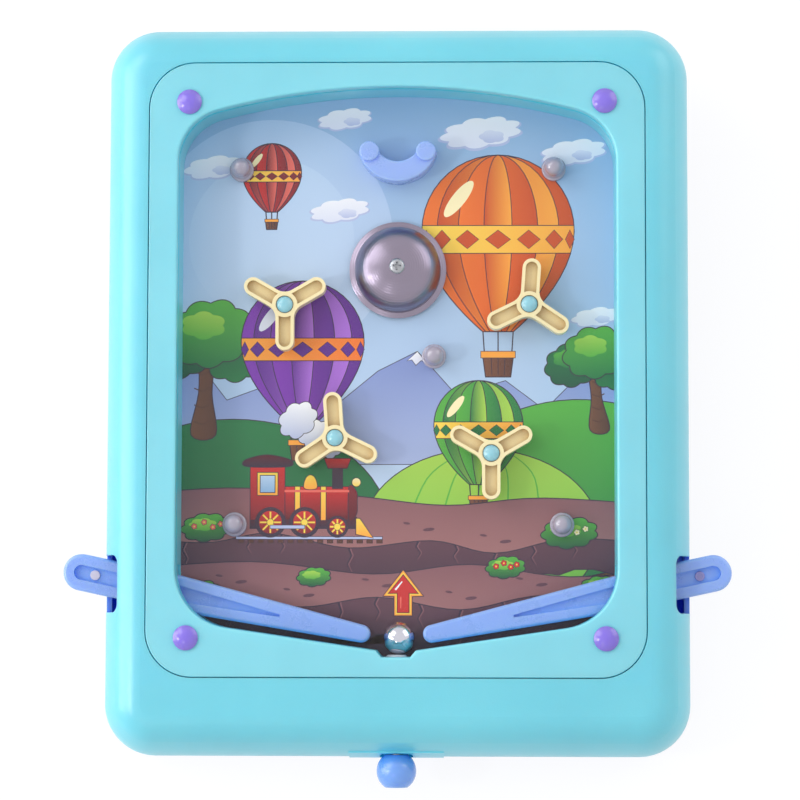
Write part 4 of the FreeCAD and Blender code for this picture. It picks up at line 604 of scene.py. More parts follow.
@dataclass(frozen=True)
class Arrow:
    """The plain arrow that points from the ball's lane up the playfield."""

    x: float
    y: float
    wide: float
    high: float

    def draw(self, picture: Picture) -> None:
        """Lay the arrow on the picture.

        Args:
            picture: What it is drawn on.
        """
        half, stem, neck = self.wide / 2, self.wide * 0.19, self.high * 0.52
        shape = [(0.0, self.high), (-half, neck), (-stem, neck * 1.02), (-stem, 0.0), (stem, 0.0),
                 (stem, neck * 1.02), (half, neck)]
        outline = placed(shape, self.x, self.y)
        for width, ink in ((1.7, Ink.LINE), (1.35, Ink.AMBER), (0.8, Ink.YELLOW), (0.4, Ink.MAROON)):
            picture.paint(grown(outline, width), ink, line=0)
        picture.paint(outline, Ink.RED, Ink.RED, line=0)
        shine = [(self.x - half * 0.55, self.y + neck * 1.17), (self.x - 0.4, self.y + self.high * 0.84)]
        picture.paint(ribbon(shine, 0.8, 0.6), Ink.WHITE, line=0)
        shine = [(self.x - stem * 0.45, self.y + neck * 0.8), (self.x - stem * 0.45, self.y + neck * 0.2)]
        picture.paint(ribbon(shine, 0.7, 0.5), Ink.ROSE, line=0)


def landscape(sheet: Outline) -> Picture:
    """The whole picture, from the sky to the arrow.

    Args:
        sheet: The sheet's outline.

    Returns:
        The finished picture.
    """
    picture = Picture(sheet)
    picture.paint(box(-120, -40, 120, 140), Ink.SKY_LOW, Ink.SKY_HIGH, heading=90.0, line=0)
    for radius, ink in ((50, Ink.HAZE), (34, Ink.HAZE_LIGHT)):
        picture.paint(ellipse(-52, 62, radius, radius, count=72), ink, Ink.SKY_LOW, line=0)
    for cloud in (Cloud(34, 106, 15), Cloud(72, 98, 12, 8), Cloud(-22, 112, 10, 8), Cloud(-76, 92, 11, 7),
                  Cloud(-24, 74, 11, 8), Cloud(81, 30, 9, 7)):
        cloud.draw(picture)
    ridge = [(-110, -30), (-100, 6), (-84, 14), (-70, -4), (-48, 4), (-30, -10), (-8, 8), (8, 16), (24, -2),
             (44, 4), (60, -8), (78, 10), (100, 0), (110, -30)]
    picture.paint(ridge, Ink.PEAK, Ink.PEAK_LOW, line=0.3)
    for x, y, size in ((-84, 14, 1.0), (8, 16, 1.0), (78, 10, 0.9)):
        cap = [(0, 0), (-4, -3.6), (-2.2, -3.2), (-0.6, -5.4), (1.6, -3.4), (4, -5)]
        picture.paint(placed(cap, x, y, size), Ink.WHITE, Ink.CLOUD, line=0.25)
    for hill, ink, fade in (
            (ellipse(70, -40, 52, 36, 6, 60), Ink.GREEN, Ink.GREEN_DEEP),
            (ellipse(-64, -52, 60, 40, -4, 60), Ink.GREEN_DEEP, Ink.GREEN_DARK),
            (ellipse(34, -58, 48, 34, 0, 60), Ink.LIME, Ink.GREEN)):
        picture.paint(hill, ink, fade)
    for step in range(5):
        furrow = [(2 + 14 * step, -60), (12 + 11 * step, -36), (26 + 5 * step, -25.5)]
        picture.paint(ribbon(smooth_run(furrow), 0.8, 0.4), Ink.GREEN, line=0)
    gold = (Ink.YELLOW, Ink.AMBER)
    for motif in (
            Tree(-80, -18, 34, 2), Tree(82, -16, 26, -2),
            Balloon(41, 66, 31, (Ink.ORANGE_DEEP, Ink.ORANGE, Ink.AMBER), Ink.CREAM, gold),
            Balloon(-39, 20, 25, (Ink.PURPLE_DEEP, Ink.PURPLE, Ink.LILAC), Ink.CLOUD,
                    (Ink.AMBER, Ink.ORANGE)),
            Balloon(-52, 90, 12, (Ink.MAROON, Ink.RED, Ink.ROSE), Ink.CREAM, gold),
            Balloon(33, -14, 18, (Ink.GREEN_DEEP, Ink.GREEN, Ink.LIME), Ink.CREAM, gold),
            Terrace([(-120, -44), (-70, -40), (-20, -43), (20, -47), (60, -44), (120, -48)],
                    [(-120, -58), (-80, -62), (-52, -58), (-20, -64), (14, -61), (40, -66), (72, -60),
                     (120, -64)], 13, (0.14, 0.24, 0.33, 0.45, 0.55, 0.64, 0.72, 0.8, 0.88)),
            Engine(-60, -60, 48),
            Terrace([(-120, -74), (-60, -70), (-10, -75), (30, -71), (70, -76), (120, -72)],
                    [(-120, -86), (-74, -82), (-40, -88), (-8, -84), (26, -89), (62, -83), (120, -88)],
                    16, (0.2, 0.28, 0.36, 0.44, 0.52, 0.6, 0.67, 0.75, 0.83))):
        motif.draw(picture)
    picture.paint(box(-120, -130, 120, -103), Ink.STONE_DARK, Ink.LINE, line=0)
    for motif in (Bush(-78, -56, 9, Ink.ROSE), Bush(70, -58, 10, Ink.CREAM), Bush(44, -72, 7, Ink.RED),
                  Bush(-34, -76, 6), Bush(82, -80, 7), Bush(-80, -82, 7, Ink.CREAM),
                  Arrow(2.4, -90.2, 11.6, 14.8)):
        motif.draw(picture)
    return picture


# Node trees and materials


class Value:
    """A node's socket that sums and products are written with."""

    def __init__(self, graph: "Graph", socket: bpy.types.NodeSocket) -> None:
        """Wrap a socket of a graph's tree."""
        self.graph = graph
        self.socket = socket

    def maths(self, operation: str, first: Operand, second: Operand) -> "Value":
        """The result of a sum on two numbers."""
        return self.graph.node("ShaderNodeMath", {"operation": operation}, {0: first, 1: second})

    def __add__(self, other: Operand) -> "Value":
        """This plus the other."""
        return self.maths("ADD", self, other)

    def __sub__(self, other: Operand) -> "Value":
        """This less the other."""
        return self.maths("SUBTRACT", self, other)

    def __rsub__(self, other: Operand) -> "Value":
        """The other less this."""
        return self.maths("SUBTRACT", other, self)

    def __mul__(self, other: Operand) -> "Value":
        """This times the other."""
        return self.maths("MULTIPLY", self, other)

    def __truediv__(self, other: Operand) -> "Value":
        """This over the other."""
        return self.maths("DIVIDE", self, other)

    __radd__ = __add__
    __rmul__ = __mul__


class Graph:
    """A node tree that is written as sums of its values."""

    def __init__(self, tree: bpy.types.NodeTree) -> None:
        """Start from an empty tree."""
        self.tree = tree
        self.tree.nodes.clear()

    def node(self, kind: str, settings: dict | None = None, inputs: dict | None = None,
             output: int | str | None = 0) -> Value | None:
        """Add a node.

        Args:
            kind: The node's type.
            settings: Its own settings, set first.
            inputs: Values or links of its sockets, by name or number.
            output: The socket that is wanted, None where the node has none.

        Returns:
            That output.
        """
        made = self.tree.nodes.new(kind)
        for name, value in (settings or {}).items():
            setattr(made, name, value)
        for key, value in (inputs or {}).items():
            if isinstance(value, Value):
                self.tree.links.new(value.socket, made.inputs[key])
            else:
                made.inputs[key].default_value = value
        return None if output is None else Value(self, made.outputs[output])

    def rays(self) -> Value:
        """Tell rays that show a surface, straight or in a reflection, from those that only light it.

        Returns:
            1 for the first kind, 0 for the second.
        """
        camera, glossy, clear = (self.node("ShaderNodeLightPath", output=f"Is {kind} Ray")
                                 for kind in ("Camera", "Glossy", "Transmission"))
        return camera.maths("MAXIMUM", camera.maths("MAXIMUM", camera, glossy), clear)


class Shader(Graph):
    """The node tree of one material."""

    def __init__(self, name: str) -> None:
        """Start an empty material.

        Args:
            name: The material's name.
        """
        self.material = bpy.data.materials.new(name)
        self.material.use_nodes = True
        super().__init__(self.material.node_tree)

    def place(self, centre: Vector = Vector(), slope: float = 0.0) -> Value:
        """Places on the piece.

        Args:
            centre: Where they are measured from.
            slope: How far their axes lean with the case.

        Returns:
            The places.
        """
        spot = self.node("ShaderNodeTexCoord", output="Object")
        return self.node("ShaderNodeMapping", {"vector_type": "TEXTURE"}, {
            "Vector": spot, "Location": centre, "Rotation": (slope, 0.0, 0.0)})

    def noise(self, place: Value, scale: float, detail: float = 2.0) -> Value:
        """Soft noise from 0 to 1."""
        return self.node("ShaderNodeTexNoise", {}, {"Vector": place, "Scale": scale, "Detail": detail})

    def mix(self, share: Operand, first: object, second: object) -> Value:
        """A colour between two, by a share."""
        return self.node("ShaderNodeMix", {"data_type": "RGBA"}, {0: share, 6: first, 7: second}, 2)

    def bump(self, height: Value, distance: float) -> Value:
        """A normal that follows a height."""
        return self.node("ShaderNodeBump", {}, {"Height": height, "Distance": distance})

    def principled(self, inputs: dict[str, object]) -> bpy.types.Material:
        """The material whose surface has these inputs."""
        return self.finish(self.node("ShaderNodeBsdfPrincipled", {}, inputs))

    def finish(self, surface: Value) -> bpy.types.Material:
        """Send a surface to the output.

        Args:
            surface: What the material shows.

        Returns:
            The finished material.
        """
        self.node("ShaderNodeOutputMaterial", {}, {"Surface": surface}, None)
        return self.material


def tint_reach(colour: Bytes) -> tuple[float, float, float]:
    """How far each part of the light travels in a plastic: furthest where its colour is strongest."""
    light = linear(colour)
    return tuple(0.25 + share for share in light[:3])


@dataclass(frozen=True)
class Plastic:
    """Moulded plastic: a faint flow in its colour, painted shade in its hollows, a fine grain, rubbed
    spots, and light that seeps in."""

    name: str
    colour: Bytes
    roughness: float
    # Colour of the painted shade that ambient occlusion mixes into creases, recesses and gaps
    hollow_painted_shade: Bytes
    # How far the ambient occlusion that places the painted shade looks
    reach: float = 0.006
    seep: float = 0.5
    depth: float = 0.006
    grain: float = 0.00004
    flow: float = 0.05
    coat: float = 0.0
    polish: float = 0.3
    ior: float = 1.66
    rub: float = 0.16
    fine: float = 0.05
    flow_scale: float = 22.0
    rub_scale: float = 90.0
    grain_scale: float = 1700.0

    def material(self) -> bpy.types.Material:
        """Build the material.

        Returns:
            The material.
        """
        shader = Shader(self.name)
        place = shader.place()
        base = linear(self.colour)
        pale = linear(tuple(min(255, int(byte + (255 - byte) * self.flow + 3)) for byte in self.colour))
        deep = linear(tuple(int(byte * (1 - self.flow)) for byte in self.colour))
        clouds = shader.noise(place, self.flow_scale, 3.0)
        flowing = shader.mix(clouds, shader.mix(clouds, deep, base), shader.mix(clouds, base, pale))
        # Painted shade: ambient occlusion mixes a deeper colour into creases, recesses and gaps, where
        # shade falls
        painted_shade_mask = shader.node("ShaderNodeAmbientOcclusion", {"samples": 6}, {"Distance": self.reach}, "AO")
        tint = shader.mix(painted_shade_mask, linear(self.hollow_painted_shade), flowing)
        rubbed = shader.noise(place, self.rub_scale, 6.0)
        grain = shader.noise(place, self.grain_scale)
        return shader.principled({
            "Base Color": tint, "Roughness": rubbed * self.rub + grain * self.fine + (self.roughness - 0.1),
            "Normal": shader.bump(grain + clouds * 2.0, self.grain),
            "IOR": self.ior, "Subsurface Weight": self.seep, "Subsurface Scale": self.depth,
            "Subsurface Radius": tint_reach(self.colour),
            "Coat Weight": self.coat, "Coat Roughness": self.polish})


@dataclass(frozen=True)
class Metal:
    """Sheet or turned metal with rings round an upright axis, and a dull bloom."""

    name: str
    colour: Bytes
    roughness: float
    about: str = ""
    rings: float = 0.0
    bloom: float = 0.1
    turning: float = 0.8
    scratch: float = 0.08
    relief: float = 0.00003
    bloom_scale: float = 130.0
    scratch_scale: float = 2600.0

    def material(self) -> bpy.types.Material:
        """Build the material, its rings centred on a piece of the frame.

        Returns:
            The material.
        """
        shader = Shader(self.name)
        low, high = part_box(self.about) if self.about else (Vector(), Vector())
        place = shader.place((low + high) / 2, SLOPE)
        bloom = shader.noise(place, self.bloom_scale, 5.0)
        scratch = shader.noise(place, self.scratch_scale, 1.0)
        height = scratch * self.scratch
        if self.rings:
            turned = shader.node("ShaderNodeTexWave", {"wave_type": "RINGS", "rings_direction": "Z"}, {
                "Vector": place, "Scale": self.rings, "Distortion": 0.35, "Detail": 2.0})
            height = height + turned * self.turning
        dull = linear(tuple(int(byte * (1 - self.bloom)) for byte in self.colour))
        return shader.principled({
            "Base Color": shader.mix(bloom, dull, linear(self.colour)), "Metallic": 1.0,
            "Roughness": bloom * self.bloom + scratch * 0.02 + self.roughness,
            "Normal": shader.bump(height, self.relief)})


@dataclass(frozen=True)
class ClearSheet:
    """A clear flat sheet: it shows only by its gloss, its rim and a faint smear."""

    name: str = "clear_sheet"
    gloss: float = 0.35
    ior: float = 1.49
    smear: float = 0.003
    smear_scale: float = 34.0

    def material(self) -> bpy.types.Material:
        """Build the material.

        Returns:
            The material.
        """
        shader = Shader(self.name)
        smear = shader.noise(shader.place(), self.smear_scale, 4.0)
        back = shader.node("ShaderNodeNewGeometry", output="Backfacing")
        edge = shader.node("ShaderNodeFresnel", {}, {"IOR": self.ior}) * (1.0 - back)
        return shader.principled({
            "Base Color": WHITE, "Metallic": 1.0, "Roughness": smear * 0.06 + 0.02,
            "Alpha": edge * self.gloss + smear * self.smear})


@dataclass(frozen=True)
class Print:
    """Printed card under a thin varnish, with a fine screen of ink."""

    name: str = "printed_sheet"
    fading: float = 0.015
    roughness: float = 0.36
    ior: float = 1.46
    relief: float = 0.000003
    screen_scale: float = 900.0
    wear_scale: float = 60.0

    def material(self) -> bpy.types.Material:
        """Build the material.

        Returns:
            The material.
        """
        shader = Shader(self.name)
        place = shader.place()
        ink = shader.node("ShaderNodeAttribute", {"attribute_name": "inks"})
        fleck = shader.noise(place, self.screen_scale)
        worn = shader.noise(place, self.wear_scale, 4.0)
        pale = shader.mix(self.fading, ink, WHITE)
        return shader.principled({
            "Base Color": shader.mix(fleck * 0.7, ink, pale), "Roughness": worn * 0.15 + self.roughness,
            "Normal": shader.bump(fleck, self.relief), "IOR": self.ior})


@dataclass(frozen=True)
class Matt:
    """A dull surface, flecked from dark to light by its fibres or its dust, and stained in clouds."""

    name: str
    dark: Bytes
    light: Bytes
    roughness: float
    fleck_scale: float
    detail: float
    stain: Bytes | None = None
    stain_scale: float = 30.0
    relief: float = 0.0001

    def material(self) -> bpy.types.Material:
        """Build the material.

        Returns:
            The material.
        """
        shader = Shader(self.name)
        place = shader.place()
        fleck = shader.noise(place, self.fleck_scale, self.detail)
        tint = shader.mix(fleck, linear(self.dark), linear(self.light))
        if self.stain:
            cloud = shader.noise(place, self.stain_scale, 3.0)
            tint = shader.mix(cloud * 0.4, tint, linear(self.stain))
        return shader.principled({"Base Color": tint, "Roughness": fleck * 0.2 + self.roughness,
                                  "Normal": shader.bump(fleck, self.relief)})


class Finish(Enum):
    """Every finish of the game, by the piece that wears it."""

    # Each plastic's fourth value is the colour of its painted shade, mixed into its hollows by ambient
    # occlusion
    HOUSING = Plastic("housing_aqua", (110, 209, 230), 0.34, (56, 222, 250), coat=0.1)
    BEZEL = Plastic("bezel_aqua", (130, 214, 232), 0.34, (70, 216, 240))
    SHELL = Plastic("shell_blue", (96, 150, 240), 0.36, (10, 90, 240))
    LEVER = Plastic("lever_blue", (139, 173, 241), 0.28, (90, 176, 255), 0.004)
    KNOB = Plastic("knob_blue", (108, 160, 236), 0.24, (40, 130, 240), coat=0.3)
    CUP = Plastic("cup_blue", (150, 180, 242), 0.28, (110, 150, 240), 0.004)
    PURPLE = Plastic("cap_purple", (132, 110, 224), 0.2, (90, 70, 200), 0.002)
    SPINNER = Plastic("spinner_yellow", (252, 234, 180), 0.32, (176, 136, 62), 0.0042, 0.12)
    HUB_CAP = Plastic("hub_cap_aqua", (146, 214, 238), 0.2, (70, 160, 190), 0.002)
    PEG = Plastic("bumper_grey", (166, 158, 176), 0.1, (90, 76, 112), 0.004, 0.2, coat=0.7, polish=0.06)
    GATE = Plastic("gate_mark", (232, 222, 250), 0.4, (200, 190, 230))
    GATE_RING = Plastic("gate_ring", (150, 146, 206), 0.4, (110, 110, 190))
    WHITE = Plastic("plain_white", (226, 228, 234), 0.4, (196, 200, 210))
    GONG = Metal("gong_steel", (148, 138, 156), 0.25, "bell_gong", 330.0, 0.06)
    CHROME = Metal("chrome", (214, 214, 226), 0.07, bloom=0.05)
    STEEL = Metal("zinc_steel", (186, 188, 194), 0.3, bloom=0.16)
    WIRE = Metal("spring_wire", (168, 168, 176), 0.26, bloom=0.14)
    CLEAR = ClearSheet()
    PRINT = Print()
    BOARD = Matt("fibre_board", (92, 66, 44), (160, 124, 88), 0.7, 420.0, 8.0, (124, 96, 70))
    RUBBER = Matt("foot_rubber", (38, 38, 42), (74, 74, 78), 0.68, 320.0, 6.0)


class Wardrobe:
    """Makes each finish once, and dresses pieces with it."""

    def __init__(self) -> None:
        """Start with no material made."""
        self.made: dict[Finish, bpy.types.Material] = {}

    def of(self, finish: Finish) -> bpy.types.Material:
        """The material of a finish.

        Args:
            finish: The finish.

        Returns:
            Its material, made when it is first asked for.
        """
        if finish not in self.made:
            self.made[finish] = finish.value.material()
        return self.made[finish]

    def dress(self, finish: Finish, *names: str) -> None:
        """Give the frame's pieces a finish.

        Args:
            finish: The finish.
            names: The frame's pieces that wear it.
        """
        for name in names:
            for slot in frame["nodes"][name].material_slots:
                slot.material = self.of(finish)
            log.info("%s wears %s", name, finish.value.name)


# The game's sub-assemblies


def extremes(spots: list[Vector]) -> tuple[Vector, Vector]:
    """Lowest and highest corners of the box round some places."""
    return Vector(min(part) for part in zip(*spots)), Vector(max(part) for part in zip(*spots))


@dataclass(frozen=True)
class Cabinet:
    """The case's own axes, read from the frame: across, along the playfield and square to it."""

    along: Vector
    up: Vector
    origin: Vector

    @classmethod
    def read(cls, sheet_middle: float = 0.0065, sheet_top: float = 0.0154) -> "Cabinet":
        """Find the axes from two joints, and the origin from the playfield's sheet.

        Args:
            sheet_middle: Where the sheet's middle lies along the case.
            sheet_top: How high its top lies.

        Returns:
            The cabinet.
        """
        axes = {joint["name"]: Vector(joint["axis"]) for joint in frame["joints"]}
        along, up = axes["ball_roll"], axes["spinner_1_spin"]
        spots = [vertex.co for vertex in frame["nodes"]["playfield_print"].data.vertices]
        reach = [spot.dot(along) for spot in spots]
        middle = (min(reach) + max(reach)) / 2 - sheet_middle
        base = max(spot.dot(up) for spot in spots) - sheet_top
        return cls(along, up, along * middle + up * base)

    def matrix(self) -> Matrix:
        """Turns places in the cabinet's axes into places in the frame."""
        turn = Matrix((Vector((1.0, 0.0, 0.0)), self.along, self.up)).transposed()
        return Matrix.Translation(self.origin) @ turn.to_4x4()

    def spots(self, node: str) -> list[Vector]:
        """Every corner of a frame piece's mesh, in the cabinet's axes."""
        back = self.matrix().inverted()
        return [back @ vertex.co for vertex in frame["nodes"][node].data.vertices]


def put(mesh: bpy.types.Mesh, name: str, material: bpy.types.Material, body: str, slot: str,
        *nodes: str) -> bpy.types.Object:
    """Show a mesh as a piece of the game.

    Args:
        mesh: Its mesh, in the frame's place.
        name: The piece's name.
        material: Its material.
        body: The body that it rides on.
        slot: The record's material slot; not used.
        nodes: The frame's pieces that it stands for.

    Returns:
        The piece.
    """
    mesh.materials.clear()
    mesh.materials.append(material)
    piece = bpy.data.objects.new(name, mesh)
    bpy.context.scene.collection.objects.link(piece)
    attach(piece, body)
    if nodes:
        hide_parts(*nodes)
    log.info("%s: %d faces on %s", name, len(mesh.polygons), body)
    return piece


@dataclass(frozen=True)
class Playfield:
    """The printed sheet on its board."""

    corner: float = 12.0

    def build(self, cabinet: Cabinet, wardrobe: Wardrobe) -> None:
        """Make the printed sheet in the place of the frame's plain one.

        Args:
            cabinet: The case's axes.
            wardrobe: The finishes.
        """
        low, high = extremes(cabinet.spots("playfield_print"))
        left, front, right, rear = (value / MM for value in (low.x, low.y, high.x, high.y))
        sheet = []
        for x, y, start in ((right, front, -90), (right, rear, 0), (left, rear, 90), (left, front, 180)):
            centre = x - math.copysign(self.corner, x), y - math.copysign(self.corner, y)
            arc = (math.radians(degrees) for degrees in range(start, start + 91, 15))
            sheet += placed([(self.corner * math.cos(a), self.corner * math.sin(a)) for a in arc], *centre)
        mesh = landscape(sheet).mesh("playfield_picture", (high.z - low.z) / MM)
        mesh.transform(cabinet.matrix() @ Matrix.Translation((0.0, 0.0, low.z)) @ Matrix.Scale(MM, 4))
        put(mesh, "playfield_picture", wardrobe.of(Finish.PRINT), "root", "print", "playfield_print")
        wardrobe.dress(Finish.BOARD, "playfield_board")


@dataclass(frozen=True)
class Ball:
    """The steel ball, rounder than the frame's."""

    rings: int = 48

    def build(self, wardrobe: Wardrobe) -> None:
        """Make the ball in the place of the frame's.

        Args:
            wardrobe: The finishes.
        """
        low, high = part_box("ball")
        ball = bmesh.new()
        bmesh.ops.create_uvsphere(ball, u_segments=2 * self.rings, v_segments=self.rings,
                                  radius=(high - low).x / 2)
        bmesh.ops.translate(ball, verts=ball.verts, vec=(low + high) / 2)
        for face in ball.faces:
            face.smooth = True
        mesh = bpy.data.meshes.new("steel_ball")
        ball.to_mesh(mesh)
        ball.free()
        put(mesh, "steel_ball", wardrobe.of(Finish.CHROME), "ball", "ball_steel", "ball")


class StampTree(Graph):
    """Geometry Nodes that set one shape on every point of a mesh."""

    name = "stamp"
    sizes: tuple[str, ...] = ()
    spin = 0.0
    seed = 7
    crease = math.radians(32.0)

    def __init__(self) -> None:
        """Build the whole tree, and note its inputs' identifiers."""
        super().__init__(bpy.data.node_groups.new(self.name, "GeometryNodeTree"))
        face = self.tree.interface
        face.new_socket("Geometry", in_out="INPUT", socket_type="NodeSocketGeometry")
        kinds = {**{label: "NodeSocketFloat" for label in self.sizes},
                 "Turn": "NodeSocketVector", "Material": "NodeSocketMaterial"}
        self.inputs = {label: face.new_socket(label, in_out="INPUT", socket_type=kind).identifier
                       for label, kind in kinds.items()}
        face.new_socket("Geometry", in_out="OUTPUT", socket_type="NodeSocketGeometry")
        spread = self.node("GeometryNodeInstanceOnPoints", {}, {
            "Points": self.given("Geometry"), "Instance": self.shape(), "Rotation": self.given("Turn")})
        chance = self.node("FunctionNodeRandomValue", {"data_type": "FLOAT"},
                           {3: self.spin, 8: self.seed}, 1)
        spun = self.node("GeometryNodeRotateInstances", {}, {
            "Instances": spread, "Rotation": self.node("ShaderNodeCombineXYZ", {}, {"Z": chance})})
        real = self.node("GeometryNodeRealizeInstances", {}, {"Geometry": spun})
        dressed = self.node("GeometryNodeSetMaterial", {}, {
            "Geometry": real, "Material": self.given("Material")})
        self.node("NodeGroupOutput", {}, {0: dressed}, None)

    def given(self, label: str) -> Value:
        """The value of one of the tree's inputs."""
        return self.node("NodeGroupInput", output=label)

    def shape(self) -> Value:
        """The shape that is stamped."""
        raise NotImplementedError

    def stamp(self, name: str, places: list[Vector], values: dict[str, object]) -> bpy.types.Mesh:
        """Set the shape on places and make it a plain mesh.

        Args:
            name: The mesh's name.
            places: Where each shape goes, in the frame.
            values: What the tree's inputs are set to.

        Returns:
            One mesh that holds every shape.
        """
        points = bpy.data.meshes.new(f"{name}_places")
        points.from_pydata(places, [], [])
        holder = bpy.data.objects.new(f"{name}_places", points)
        bpy.context.scene.collection.objects.link(holder)
        modifier = holder.modifiers.new(self.name, "NODES")
        modifier.node_group = self.tree
        for label, value in values.items():
            modifier[self.inputs[label]] = value
        graph = bpy.context.evaluated_depsgraph_get()
        mesh = bpy.data.meshes.new_from_object(holder.evaluated_get(graph), depsgraph=graph)
        mesh.name = name
        bpy.data.objects.remove(holder)
        mesh.shade_smooth()
        mesh.set_sharp_from_angle(angle=self.crease)
        return mesh


class SpringTree(StampTree):
    """Stamps coiled springs that stand on their first end."""

    name = "springs"
    sizes = ("Coil Radius", "Wire Radius", "Height", "Coils")
    steps = 40
    sides = 14

    def shape(self) -> Value:
        """The wire, swept along its coil.

        Returns:
            The spring's mesh.
        """
        radius = self.given("Coil Radius")
        coil = self.node("GeometryNodeCurveSpiral", {}, {
            "Resolution": self.steps, "Rotations": self.given("Coils"), "Start Radius": radius,
            "End Radius": radius, "Height": self.given("Height")})
        wire = self.node("GeometryNodeCurvePrimitiveCircle", {}, {
            "Resolution": self.sides, "Radius": self.given("Wire Radius")})
        return self.node("GeometryNodeCurveToMesh", {}, {
            "Curve": coil, "Profile Curve": wire, "Fill Caps": True})


class ScrewTree(StampTree):
    """Stamps threaded screws with a cross recess, each turned its own way."""

    name = "screws"
    sizes = ("Shank Radius", "Head Radius", "Head Height", "Length", "Thread Pitch", "Thread Depth")
    spin = math.tau

    def shape(self) -> Value:
        """The head and its shank in one."""
        return self.boolean("UNION", {}, self.head(), self.shank())

    def boolean(self, operation: str, inputs: dict[str, Value], *tools: Value) -> Value:
        """Join closed shapes, or cut them from another.

        Args:
            operation: How they are put together.
            inputs: The shape that is cut, if one is.
            tools: The shapes that are joined or that cut.

        Returns:
            The mesh that it gives.
        """
        made = self.node("GeometryNodeMeshBoolean", {"operation": operation, "solver": "MANIFOLD"}, inputs)
        for tool in tools:
            self.tree.links.new(tool.socket, made.socket.node.inputs["Mesh 2"])
        return made

    def parts(self) -> tuple[Value, Value, Value]:
        """The three parts of a point's place."""
        split = self.node("ShaderNodeSeparateXYZ", {}, {0: self.node("GeometryNodeInputPosition")})
        return tuple(Value(self, output) for output in split.socket.node.outputs)

    def moved(self, shape: Value, x: Value, y: Value, z: Value) -> Value:
        """A shape with its points set to new places."""
        return self.node("GeometryNodeSetPosition", {}, {
            "Geometry": shape, "Position": self.node("ShaderNodeCombineXYZ", {}, {0: x, 1: y, 2: z})})

    def shank(self, sides: int = 20, rows: float = 6.0, point: float = 1.3, sink: float = 0.0004) -> Value:
        """The shank, hanging from the head: its thread is a helix that runs out in a point.

        Args:
            sides: Facets round it.
            rows: Rows of facets in one turn of the thread.
            point: Length of the point, in turns.
            sink: How far it reaches into the head.

        Returns:
            The shank's mesh.
        """
        length, pitch = self.given("Length") + sink, self.given("Thread Pitch")
        rod = self.node("GeometryNodeMeshCylinder", {"fill_type": "TRIANGLE_FAN"}, {
            "Vertices": sides, "Side Segments": length / pitch * rows,
            "Radius": self.given("Shank Radius"), "Depth": length})
        x, y, z = self.parts()
        height = z + length * 0.5
        angle = y.maths("ARCTAN2", y, x) / math.tau
        ridge = height.maths("PINGPONG", height / pitch + angle, 0.5) * 2.0
        trough = (1.0 - ridge) * self.given("Thread Depth") / self.given("Shank Radius")
        taper = height.maths("MINIMUM", height / pitch / point * 0.7 + 0.3, 1.0)
        width = (1.0 - trough) * taper
        return self.moved(rod, x * width, y * width, height - length + sink)

    def head(self, sides: int = 36, rim: float = 0.42) -> Value:
        """The pan head, its seat at the origin, with the cross recess cut out of it.

        Args:
            sides: Facets round it.
            rim: Share of its height that stands upright.

        Returns:
            The head's mesh.
        """
        radius, height = self.given("Head Radius"), self.given("Head Height")
        drum = self.node("GeometryNodeMeshCylinder", {"fill_type": "TRIANGLE_FAN"}, {
            "Vertices": sides, "Fill Segments": 9, "Radius": radius, "Depth": height})
        x, y, z = self.parts()
        share = (x * x + y * y) / (radius * radius)
        dome = share.maths("SQRT", share.maths("MAXIMUM", 1.0 - share, 0.0), 0.0)
        rise = height * rim + height * (1.0 - rim) * dome
        pan = self.moved(drum, x, y, (z / height + 0.5) * rise)
        return self.boolean("DIFFERENCE", {"Mesh 1": pan}, self.blade(1.25, 0.32), self.blade(0.32, 1.25))

    def blade(self, across: float, along: float, depth: float = 0.72, narrow: float = 0.35) -> Value:
        """One of the recess's two crossed wings, narrower at its floor.

        Args:
            across: Its width, as a share of the head's radius.
            along: Its other width, as a share too.
            depth: How deep it goes, as a share of the head's height.
            narrow: How much of its width is lost at its floor.

        Returns:
            The wing's mesh.
        """
        radius, height = self.given("Head Radius"), self.given("Head Height")
        size = self.node("ShaderNodeCombineXYZ", {}, {0: radius * across, 1: radius * along, 2: height})
        cube = self.node("GeometryNodeMeshCube", {}, {"Size": size})
        x, y, z = self.parts()
        share = z / height + 0.5
        width = share * narrow + (1.0 - narrow)
        return self.moved(cube, x * width, y * width, z + height * (1.5 - depth))


@dataclass(frozen=True)
class Screws:
    """Screws of one kind, in the places of the frame's plain ones."""

    node: str
    shank: float = 1.4
    head: float = 2.9
    rise: float = 1.8
    heads_up: bool = False
    pitch: float = 1.3
    thread: float = 0.32

    def boxes(self, cabinet: Cabinet) -> list[tuple[Vector, Vector]]:
        """Find each of the frame's screws.

        Args:
            cabinet: The case's axes.

        Returns:
            The lowest and highest corner of each screw, in the cabinet's axes.
        """
        screws: list[list[Vector]] = []
        for spot in cabinet.spots(self.node):
            for spots in screws:
                if (spots[0] - spot).xy.length < 4 * self.head * MM:
                    spots.append(spot)
                    break
            else:
                screws.append([spot])
        return [extremes(spots) for spots in screws]

    def build(self, cabinet: Cabinet, tree: ScrewTree, wardrobe: Wardrobe) -> None:
        """Set the screws on their places, make them a plain mesh and show it.

        Args:
            cabinet: The case's axes.
            tree: What makes their shape.
            wardrobe: The finishes.
        """
        boxes = self.boxes(cabinet)
        seats = [Vector(((low.x + high.x) / 2, (low.y + high.y) / 2,
                         high.z - self.rise * MM if self.heads_up else low.z + self.rise * MM))
                 for low, high in boxes]
        length = boxes[0][1].z - boxes[0][0].z - self.rise * MM
        turn = SLOPE if self.heads_up else SLOPE + math.pi
        sizes = (self.shank * MM, self.head * MM, self.rise * MM, length, self.pitch * MM, self.thread * MM)
        values = {**dict(zip(tree.sizes, sizes)), "Turn": (turn, 0.0, 0.0),
                  "Material": wardrobe.of(Finish.STEEL)}
        name = f"threaded_{self.node}"
        mesh = tree.stamp(name, [cabinet.matrix() @ seat for seat in seats], values)
        put(mesh, name, wardrobe.of(Finish.STEEL), "root", "steel", self.node)


